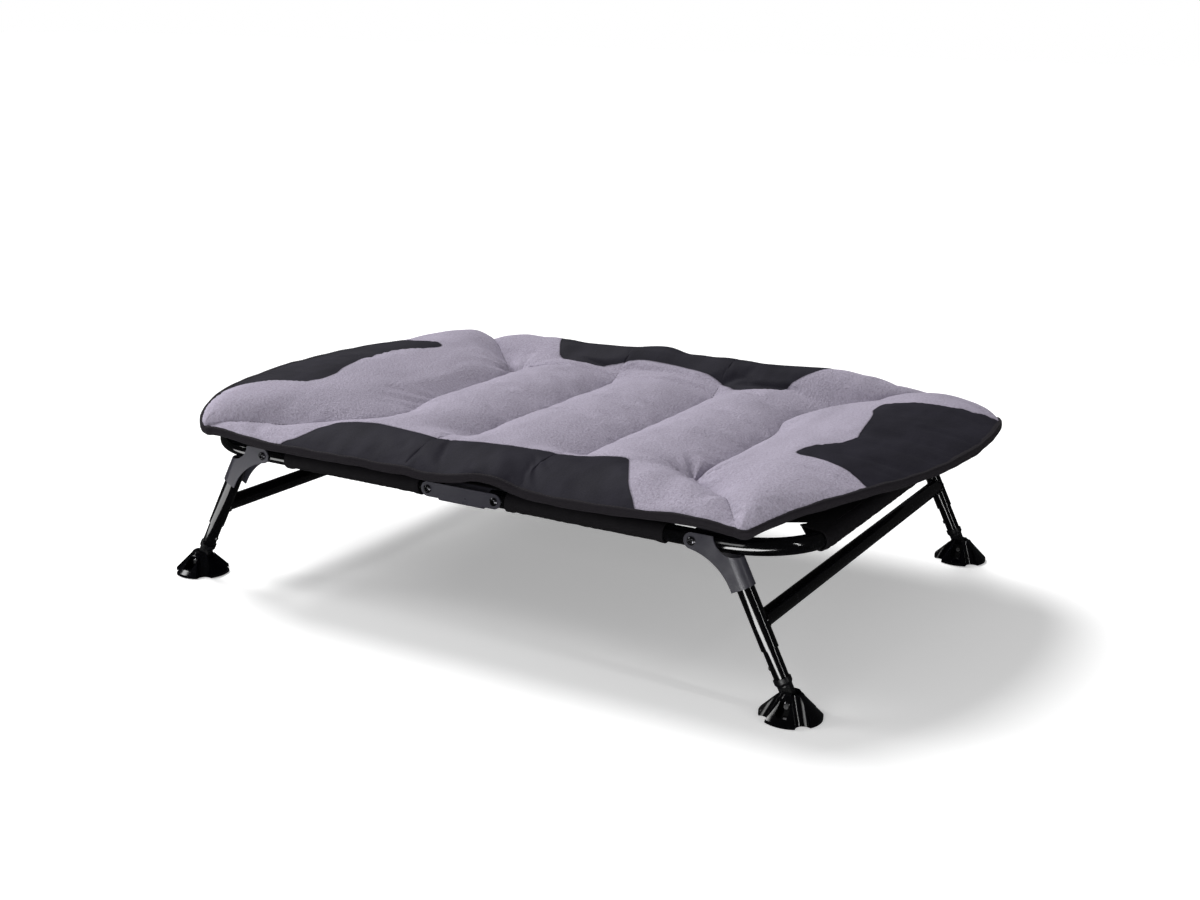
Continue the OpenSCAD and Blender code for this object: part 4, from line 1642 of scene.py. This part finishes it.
@dataclass
class Mattress:
    """The padded mattress: two straight seams, two pillow seams, charcoal panels and a bound edge.

    Attributes:
        seam_x: Distance from the middle to the straight seams.
        seam_run: Share of the half width where a straight seam starts to fade, and over which share.
        pucker_fade: Share over which its puckers fade.
        seam_margin: Share of the cells past each end of a straight seam.
        pillow_margin: Cells past each end of a pillow seam's stitches.
        pillow_x: Distance from the middle to a pillow seam between its tuft and its turn.
        tuft_y: Distance from the middle line to the tuft of a pillow seam.
        turn: Distance from the middle line to a pillow seam's rounded turn, and the turn's radius.
        sway: How far a pillow seam sways in before that turn, where, and over which width.
        corner: Where a pillow seam reaches the corner.
        crown: Rise of the padding of the three pads above the binding.
        pillow_crown: Rise of the padding of the two pillows.
        valley: Rise of the padding left in the seams.
        plump: Power of a pad's rise from its seams.
        side_fall: Powers of the padding's fall to the long edges.
        edge_t: Thickness of the bound edge.
        end_rise: How far the bound edge rises at the middle of the ends.
        end_level: Power of that rise's fall to the corners.
        end_bulge: How far the ends bulge out past the rounded corners and past the pointed ones.
        corner_round: How far the rounded corners are rounded back, and the power of their round.
        draw_in: How far the sides draw in at a seam, and the power of their round between seams.
        skew: Slant of the right end, because the mattress doesn't lie quite straight, and its run.
        columns: Cells from the middle to the straight seam, the pillow seam and the end.
        rows: Cells across the width.
        crowding: Shares of crowded and of even spacing of the cells across the width.
        rear_roll: The roll along the rear side.
        front_roll: The roll along the front side of the right half.
        folds: Folds, puckers and slack of the cover.
        stuffing: The filling's pressure on the cover.
        binding: The tape round the edge.
        stitching: The stitches in the seams.
        panel_groove: Depth and width of the groove at a panel's border.
        under_panel: Distance inside a panel that stands for the whole underside.
        crease: Angle in degrees past which the cover's edges stay sharp.
        front_panel: Outline of the front panel.
        rear_panel: Outline of the rear panel.
        end_panel: Outline of the right end panel, which is turned for the left one.
        half_l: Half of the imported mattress's length.
        half_w: Half of its width.
        base_z: Height of its underside.
    """

    seam_x: float = 0.089
    seam_run: Point2 = (0.57, 0.14)
    pucker_fade: float = 0.12
    seam_margin: float = 0.22
    pillow_margin: int = 4
    pillow_x: float = 0.257
    tuft_y: float = 0.198
    turn: Point2 = (0.222, 0.018)
    sway: Point3 = (0.020, 0.150, 0.055)
    corner: Point2 = (0.408, 0.335)
    crown: float = 0.0305
    pillow_crown: float = 0.0355
    valley: float = 0.006
    plump: float = 0.72
    side_fall: Point2 = (4.0, 0.7)
    edge_t: float = 0.008
    end_rise: float = 0.028
    end_level: int = 6
    end_bulge: Point2 = (0.076, 0.092)
    corner_round: Point2 = (0.034, 8.0)
    draw_in: Point2 = (0.003, 0.6)
    skew: Point2 = (0.12, 0.2)
    columns: tuple[int, int, int] = (22, 46, 62)
    rows: int = 170
    crowding: Point2 = (0.55, 0.45)
    rear_roll: RearRoll = RearRoll()
    front_roll: FrontRoll = FrontRoll()
    folds: CoverFolds = CoverFolds()
    stuffing: Stuffing = Stuffing()
    binding: EdgeBinding = EdgeBinding()
    stitching: Stitching = Stitching()
    panel_groove: Point2 = (0.0012, 0.0035)
    under_panel: float = 0.05
    crease: float = 65.0
    front_panel: tuple[Point2, ...] = (
        (-0.310, -0.385), (-0.296, -0.350), (-0.276, -0.331), (-0.260, -0.300), (-0.244, -0.276),
        (-0.205, -0.268), (-0.163, -0.269), (-0.087, -0.273), (0.006, -0.270), (0.070, -0.256),
        (0.118, -0.243), (0.160, -0.237), (0.184, -0.237), (0.187, -0.242), (0.201, -0.268),
        (0.226, -0.315), (0.264, -0.385), (0.120, -0.395), (-0.120, -0.395),
    )
    rear_panel: tuple[Point2, ...] = (
        (0.300, 0.385), (0.252, 0.312), (0.212, 0.268), (0.190, 0.240), (0.160, 0.222), (0.120, 0.226),
        (0.080, 0.243), (0.007, 0.259), (-0.058, 0.260), (-0.106, 0.243), (-0.160, 0.231), (-0.200, 0.240),
        (-0.214, 0.256), (-0.236, 0.300), (-0.262, 0.385), (-0.120, 0.395), (0.120, 0.395),
    )
    end_panel: tuple[Point2, ...] = (
        (0.560, -0.215), (0.491, -0.187), (0.453, -0.168), (0.410, -0.158), (0.388, -0.155), (0.374, -0.142),
        (0.380, -0.108), (0.398, -0.080), (0.413, -0.045), (0.408, 0.0), (0.400, 0.050), (0.390, 0.095),
        (0.378, 0.130), (0.378, 0.165), (0.394, 0.194), (0.445, 0.216), (0.500, 0.240), (0.560, 0.275),
        (0.620, 0.200), (0.630, 0.0), (0.610, -0.150),
    )
    half_l: float = field(init=False)
    half_w: float = field(init=False)
    base_z: float = field(init=False)

    def __post_init__(self) -> None:
        """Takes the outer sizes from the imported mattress."""
        low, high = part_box("mattress_right")
        self.half_l, self.half_w, self.base_z = high.x, high.y, low.z

    def build(self, wardrobe: Wardrobe, fold: FoldLine) -> None:
        """Makes both halves with their binding and stitches.

        Args:
            wardrobe: The materials.
            fold: The fold line, which bakes each piece's transform.
        """
        forms = {half: self._form(half) for half in Half}
        self._stuff(forms)
        for half, form in forms.items():
            pad = self._pad(half, form)
            finish_piece(pad, wardrobe.get(MATTRESS_COVER))
            fold.bend(pad)
            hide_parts(f"mattress_{half.word}", "mattress_middle")
            tape, sewing = self.binding.sew_on(half, form.edge())
            seams = self._seam_stitches(half, form)
            for piece, finish in ((tape, BINDING_TAPE), (sewing, DARK_THREAD), (seams, GREY_THREAD)):
                finish_piece(piece, wardrobe.get(finish))
                fold.bend(piece)

    # Form of the mattress, on the right half

    def end_x(self, v: np.ndarray) -> np.ndarray:
        """The bulging end's place at v from -1, a pointed corner, to 1, a rounded corner.

        Args:
            v: Places across the width.

        Returns:
            The distance from the middle at each place.
        """
        back, power = self.corner_round
        corner = 1.0 - np.sqrt(np.maximum(0.0, 1.0 - np.abs(v) ** power))
        rounded = self.half_l - self.end_bulge[0] * v**2 - back * corner
        return np.where(v < 0.0, self.half_l - self.end_bulge[1] * v**2, rounded)

    def pillow_seam(self, v: np.ndarray) -> np.ndarray:
        """The pillow seam's place: from its tuft straight to one corner, in a rounded turn to the other.

        Args:
            v: Places across the width from -1 to 1.

        Returns:
            The distance from the middle at each place.
        """
        y = v * self.half_w
        turn_y, radius = self.turn
        from_tuft = np.maximum(0.0, -y - self.tuft_y) / (self.corner[1] - self.tuft_y)
        past = y - turn_y
        from_turn = (past + np.sqrt(past**2 + radius**2)) / 2.0 / (self.corner[1] - turn_y)
        run = (self.corner[0] - self.pillow_x) * (from_tuft + from_turn)
        depth, place, width = self.sway
        sway = depth * np.exp(-(((y - place) / width) ** 2))
        return np.minimum(self.pillow_x + run - sway, self.end_x(v) - self.edge_t)

    def _form(self, half: Half) -> PadForm:
        """The form of a half, in its real place.

        Args:
            half: The half.

        Returns:
            The form.
        """
        even = np.linspace(-1.0, 1.0, self.rows + 1)
        crowded, spaced = self.crowding
        v = crowded * np.sin(math.pi / 2.0 * even) + spaced * even
        upper, lower = [], []
        for stretch, cells in zip(Stretch, self.columns):
            for k in range(0 if stretch is Stretch.MIDDLE else 1, cells + 1):
                top, bottom = self._row(half, stretch, k / cells, v)
                upper.append(top)
                lower.append(bottom)
        form = PadForm(np.concatenate(upper), np.concatenate(lower), (len(upper), len(v)))
        self._wrinkle(half, form.top, form.bottom)
        return form

    def _row(
        self, half: Half, stretch: Stretch, share: float, v: np.ndarray
    ) -> tuple[np.ndarray, np.ndarray]:
        """One row of points across the mattress.

        Args:
            half: The half.
            stretch: The stretch that the row is on.
            share: Share of the stretch's cells that lie before the row.
            v: Places across the width from -1 to 1.

        Returns:
            The upper and the lower points.
        """
        seam, end = self.pillow_seam(v), self.end_x(v)
        if stretch is Stretch.MIDDLE:
            s = math.sin(math.pi / 2.0 * share)
            x, place = np.full_like(v, self.seam_x * s), 0.5 + 0.5 * s
        else:
            place = 0.5 - 0.5 * math.cos(math.pi * share)
            straight = np.full_like(v, self.seam_x)
            bounds = (straight, seam) if stretch is Stretch.PAD else (seam, end)
            x = mix(bounds[0], bounds[1], place)
        draw_in, power = self.draw_in
        swell = max(0.0, math.sin(math.pi * place)) ** power
        y = v * (self.half_w - draw_in * (1.0 - swell))
        rising = smooth((x - self.pillow_x) / (end - self.pillow_x))
        lift = self.end_rise * (1.0 - np.abs(v) ** self.end_level) * rising**2
        height = self._height(stretch, place, v) + self.rear_roll.height(x, v, half, self.half_w)
        if half is Half.RIGHT:
            height += self.front_roll.height(x, v * self.half_w)
        top = np.stack([x, y, self.base_z + lift + height], axis=1)
        return top, np.stack([x, y, self.base_z + lift], axis=1)

    def _height(self, stretch: Stretch, place: float, v: np.ndarray) -> np.ndarray:
        """Height of the stuffed cover above its underside.

        Args:
            stretch: The stretch of the mattress.
            place: Share of the way from one seam to the next.
            v: Places across the width from -1 to 1.

        Returns:
            The height at each place.
        """
        steep, soft = self.side_fall
        fall = np.maximum(0.0, 1.0 - np.abs(v) ** steep) ** soft
        low = 1.0 - max(0.0, math.sin(math.pi * place)) ** self.plump
        crown, full = self.crown, self.crown - self.valley
        start, fade = self.seam_run
        depth = full * (1.0 - smooth((np.abs(v) - start) / fade))
        if stretch is Stretch.PAD:
            depth = mix(depth, full, float(smooth(np.array(place))))
        elif stretch is Stretch.PILLOW:
            crown = mix(self.crown, self.pillow_crown, float(smooth(np.array(2.0 * place))))
            depth = mix(full, crown, float(smooth(np.array(2.0 * place - 1.0))))
        return self.edge_t + fall * (crown - depth * low)

    def _wrinkle(self, half: Half, top: np.ndarray, bottom: np.ndarray) -> None:
        """Turns a half into its place and adds the cover's folds, puckers and slack.

        Args:
            half: The half.
            top: The upper points of the right half, changed in place.
            bottom: The lower points, changed in place.
        """
        local = top.copy()
        across = np.abs(local[:, 1]) / self.half_w
        thick = np.clip((top[:, 2] - bottom[:, 2] - self.edge_t) / self.crown, 0.0, 1.0)
        top[:], bottom[:] = half.turn(top), half.turn(bottom)
        if half is Half.RIGHT:
            skew, run = self.skew
            slant = skew * top[:, 1] * smooth((top[:, 0] - self.pillow_x) / run)
            top[:, 0] += slant
            bottom[:, 0] += slant
        flat = top * FLAT
        push = self.folds.broad.at(flat) * thick
        push += self.folds.fine.at(flat) * thick
        push += self._seam_puckers(local, flat) * thick
        push += self.folds.round_tuft(local[:, 0] - self.pillow_x, local[:, 1] + self.tuft_y)
        push += self.folds.beside_link(top)
        top[:, 2] += push
        hump, slack = self.folds.at_edge(top, flat, across)
        top[:, 2] += hump + slack
        bottom[:, 2] += hump + np.maximum(slack, 0.0)

    def _seam_puckers(self, local: np.ndarray, flat: np.ndarray) -> np.ndarray:
        """Short puckers beside the straight seam and the pillow seam.

        Args:
            local: Points on the right half.
            flat: Places that the noise follows.

        Returns:
            The push up at each point.
        """
        v = np.clip(local[:, 1] / self.half_w, -1.0, 1.0)
        shown = 1.0 - smooth((np.abs(v) - self.seam_run[0]) / self.pucker_fade)
        straight = self.folds.beside_seam(np.abs(local[:, 0] - self.seam_x), shown, flat)
        return straight + self.folds.beside_seam(np.abs(local[:, 0] - self.pillow_seam(v)), 1.0, flat)

    def _stuff(self, forms: dict[Half, PadForm]) -> None:
        """Swells the cover between its seams by a cloth simulation over both halves.

        Args:
            forms: The form of each half, whose upper points are changed in place.
        """
        left, right = forms[Half.LEFT].table(), forms[Half.RIGHT].table()
        rows, columns = forms[Half.RIGHT].shape
        whole = np.concatenate([left[:0:-1, ::-1], right])
        sewn = np.zeros(whole.shape[:2], dtype=bool)
        sewn[[0, -1]] = True
        sewn[:, [0, -1]] = True
        middle, margin = rows - 1, round(self.seam_margin * columns)
        first, second, _ = self.columns
        for side in (-1, 1):
            sewn[middle + side * first, margin:-margin] = True
            sewn[middle + side * (first + second)] = True
        moved = self.stuffing.swell(whole.reshape(-1, 3), sewn.ravel(), len(whole), columns)
        push = moved.reshape(whole.shape)
        right += push[middle:]
        left += push[middle::-1, ::-1]

    # Pieces

    def _pad(self, half: Half, form: PadForm) -> bpy.types.Object:
        """The stuffed cover of a half, with its panels marked.

        Args:
            half: The half.
            form: The half's form.

        Returns:
            The cover.
        """
        distance = self._panel_distance(form.top)
        depth, width = self.panel_groove
        top, bottom = form.top.copy(), form.bottom
        top[:, 2] -= depth * np.exp(-((distance / width) ** 2))
        points, faces = closed_slab(top, bottom, *form.shape)
        piece = add_piece(f"mattress_cover_{half.word}", points, faces)
        crease_at(piece, self.crease)
        store_value(piece, PANEL, np.concatenate([distance, np.full(len(bottom), self.under_panel)]))
        store_lay(piece, np.concatenate([top, bottom]) * FLAT)
        return piece

    def _panel_distance(self, points: np.ndarray) -> np.ndarray:
        """How far each point is inside a charcoal panel.

        Args:
            points: Rows of x, y, z.

        Returns:
            The distance from the nearest panel's outline, above 0 inside.
        """
        best = np.full(len(points), -1.0)
        end = smooth_outline(self.end_panel)
        for outline in (smooth_outline(self.front_panel), smooth_outline(self.rear_panel), end, -end):
            best = np.maximum(best, inside_distance(points[:, :2], outline))
        return best

    def _seam_stitches(self, half: Half, form: PadForm) -> bpy.types.Object:
        """The stitches in the straight seam and the pillow seam of a half.

        Args:
            half: The half.
            form: The half's form.

        Returns:
            The stitches.
        """
        table = form.table()
        first, second, _ = self.columns
        margins = {first: round(self.seam_margin * form.shape[1]), first + second: self.pillow_margin}
        made = []
        for number, (row, margin) in enumerate(margins.items()):
            line = table[row, margin:-margin]
            normals = np.tile(UP, (len(line), 1))
            made.append(self.stitching.sew(f"quilt_stitches_{number}_{half.word}", line, normals))
        return join(made, f"quilt_stitches_{half.word}")


# Studio


@dataclass(frozen=True)
class AreaLight:
    """A rectangular light.

    Attributes:
        name: Name of the light.
        at: Its place.
        size: Its width and height.
        power: Its power in watts.
    """

    name: str
    at: Point3
    size: Point2
    power: float

    def place(self) -> bpy.types.Object:
        """Puts the light in its place, facing down.

        Returns:
            The light.
        """
        data = bpy.data.lights.new(self.name, "AREA")
        data.shape = "RECTANGLE"
        data.size, data.size_y = self.size
        data.energy = self.power
        light = bpy.data.objects.new(self.name, data)
        light.location = self.at
        bpy.context.scene.collection.objects.link(light)
        return light


@dataclass
class Studio:
    """Camera, lights and a pale floor.

    Attributes:
        focal_px: Focal length in pixels of the photograph.
        sensor_mm: Width of the camera's sensor.
        camera_at: Place of the camera.
        azimuth: Direction of the view round Z in degrees.
        elevation: Angle of the view below the horizon in degrees.
        roll: Turn of the camera about its view in degrees.
        clip: Nearest and farthest distance that the camera shows.
        floor_size: Width of the floor.
        floor_z: Height of the floor, just under the feet.
        floor_tone: Darkest and lightest tone of the floor.
        glow: Strength of the light that comes up through the floor, as on a light table.
        sky: Strength of the even light from all round.
        mirrored: Share of that light which shows in reflections.
        sun: Strength of the wide light from above.
        sun_spread: Angle in degrees that it spreads over.
        sun_tilt: Its tilt in degrees about X and Y.
        cards: Bright cards on the floor in front of the cot, which only show in the tubes' reflections.
        softboxes: Lights that face the cot.
        aim: Where the softboxes point.
    """

    focal_px: float = 1558.755
    sensor_mm: float = 36.0
    camera_at: Point3 = (1.08548, -1.92830, 0.78610)
    azimuth: float = 29.165
    elevation: float = 15.369
    roll: float = 1.359
    clip: Point2 = (0.05, 200.0)
    floor_size: float = 80.0
    floor_z: float = -0.0005
    floor_tone: Point2 = (0.93, 0.95)
    glow: float = 0.30
    sky: float = 0.21
    mirrored: float = 0.15
    sun: float = 3.1
    sun_spread: float = 28.0
    sun_tilt: Point2 = (-20.0, -38.0)
    cards: tuple[AreaLight, ...] = (
        AreaLight("right_card", (0.66, -1.10, 0.003), (0.72, 1.10), 42.0),
        AreaLight("left_card", (-0.62, -0.62, 0.003), (0.50, 0.30), 2.6),
    )
    softboxes: tuple[AreaLight, ...] = (
        AreaLight("key_softbox", (-1.9, -0.9, 1.5), (0.8, 0.8), 17.0),
        AreaLight("end_strip", (2.4, -0.5, 1.1), (0.08, 1.2), 7.0),
        AreaLight("front_softbox", (0.25, -2.9, 1.0), (1.4, 0.9), 16.0),
    )
    aim: Point3 = (0.1, 0.0, 0.18)

    def build(self) -> None:
        """Sets up the camera, the lights and the floor."""
        self._camera()
        self._floor()
        self._overhead()
        for card in self.cards:
            self._lay_card(card)
        for softbox in self.softboxes:
            self._aim_softbox(softbox)
        self._sky()
        bpy.context.scene.view_settings.view_transform = "Standard"

    def _camera(self) -> None:
        """Makes the camera at the photograph's view."""
        data = bpy.data.cameras.new("photo_view")
        data.sensor_width = self.sensor_mm
        data.sensor_fit = "HORIZONTAL"
        data.lens = self.focal_px / PHOTO_WIDTH_PX * data.sensor_width
        data.clip_start, data.clip_end = self.clip
        camera = bpy.data.objects.new("photo_view", data)
        a, e, r = (math.radians(d) for d in (self.azimuth, self.elevation, self.roll))
        back = Vector((math.sin(a) * math.cos(e), -math.cos(a) * math.cos(e), math.sin(e)))
        right = (-back).cross(Vector((0.0, 0.0, 1.0))).normalized()
        up = right.cross(-back)
        across = math.cos(r) * right + math.sin(r) * up
        upright = -math.sin(r) * right + math.cos(r) * up
        turn = Matrix((across, upright, back)).transposed()
        camera.matrix_world = Matrix.Translation(self.camera_at) @ turn.to_4x4()
        bpy.context.scene.collection.objects.link(camera)
        bpy.context.scene.camera = camera

    def _floor(self) -> None:
        """Makes the plain pale floor."""
        h = self.floor_size / 2.0
        corners = np.array([[x, y, self.floor_z] for x, y in ((-h, -h), (h, -h), (h, h), (-h, h))])
        floor = add_piece("floor", corners, [[0, 1, 2, 3]])
        material, build, shader = start_material("pale_floor", {"Roughness": 0.85, "Specular IOR Level": 0.1})
        shader.inputs["Emission Color"].default_value = (1.0, 1.0, 1.0, 1.0)
        shader.inputs["Emission Strength"].default_value = self.glow
        place = build.add("ShaderNodeTexCoord").outputs["Object"]
        dark, light = shades((1.0, 1.0, 1.0), self.floor_tone)
        build.put(shader.inputs["Base Color"], build.blend(build.cloud(place, scale=2.0), dark, light))
        floor.data.materials.append(material)
        floor.visible_glossy = False

    def _overhead(self) -> None:
        """Makes the wide soft light from above, which is even all over the floor."""
        data = bpy.data.lights.new("overhead", "SUN")
        data.energy = self.sun
        data.angle = math.radians(self.sun_spread)
        light = bpy.data.objects.new("overhead", data)
        light.rotation_euler = (*(math.radians(d) for d in self.sun_tilt), 0.0)
        bpy.context.scene.collection.objects.link(light)

    @staticmethod
    def _lay_card(card: AreaLight) -> None:
        """Lays a card on the floor, face up.

        Args:
            card: The card.
        """
        light = card.place()
        light.rotation_euler = (math.pi, 0.0, 0.0)
        light.visible_camera = False
        light.visible_diffuse = False

    def _aim_softbox(self, softbox: AreaLight) -> None:
        """Places a softbox and turns it to the cot.

        Args:
            softbox: The light.
        """
        light = softbox.place()
        aim = Vector(self.aim) - Vector(softbox.at)
        light.rotation_mode = "QUATERNION"
        light.rotation_quaternion = aim.to_track_quat("-Z", "Y")

    def _sky(self) -> None:
        """Even white light from all round, dim in reflections, in front of a white backdrop."""
        world = bpy.data.worlds.new("white_studio")
        world.use_nodes = True
        build = Nodes(world.node_tree)
        background = world.node_tree.nodes["Background"]
        background.inputs["Color"].default_value = (1.0, 1.0, 1.0, 1.0)
        path = build.add("ShaderNodeLightPath")
        seen = build.span(path.outputs["Is Camera Ray"], 0.0, 1.0, (self.sky, 1.0))
        mirrored = build.span(path.outputs["Is Glossy Ray"], 0.0, 1.0, (1.0, self.mirrored))
        build.put(background.inputs["Strength"], build.math("MULTIPLY", seen, mirrored))
        bpy.context.scene.world = world


def main() -> None:
    """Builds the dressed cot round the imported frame."""
    logging.basicConfig(level=logging.INFO, format="%(name)s: %(message)s")
    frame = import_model()
    Studio().build()
    wardrobe = Wardrobe()
    cot = CotFrame(frame["nodes"], frame["record"]["subparts"])
    cot.dress(wardrobe)
    cot.weld_crossbars(wardrobe)
    for corner in LEGS:
        LockSpring(corner).build(wardrobe)
    fold = FoldLine()
    BaseSheet().build(wardrobe, fold)
    Mattress().build(wardrobe, fold)


if __name__ == "__main__":
    main()
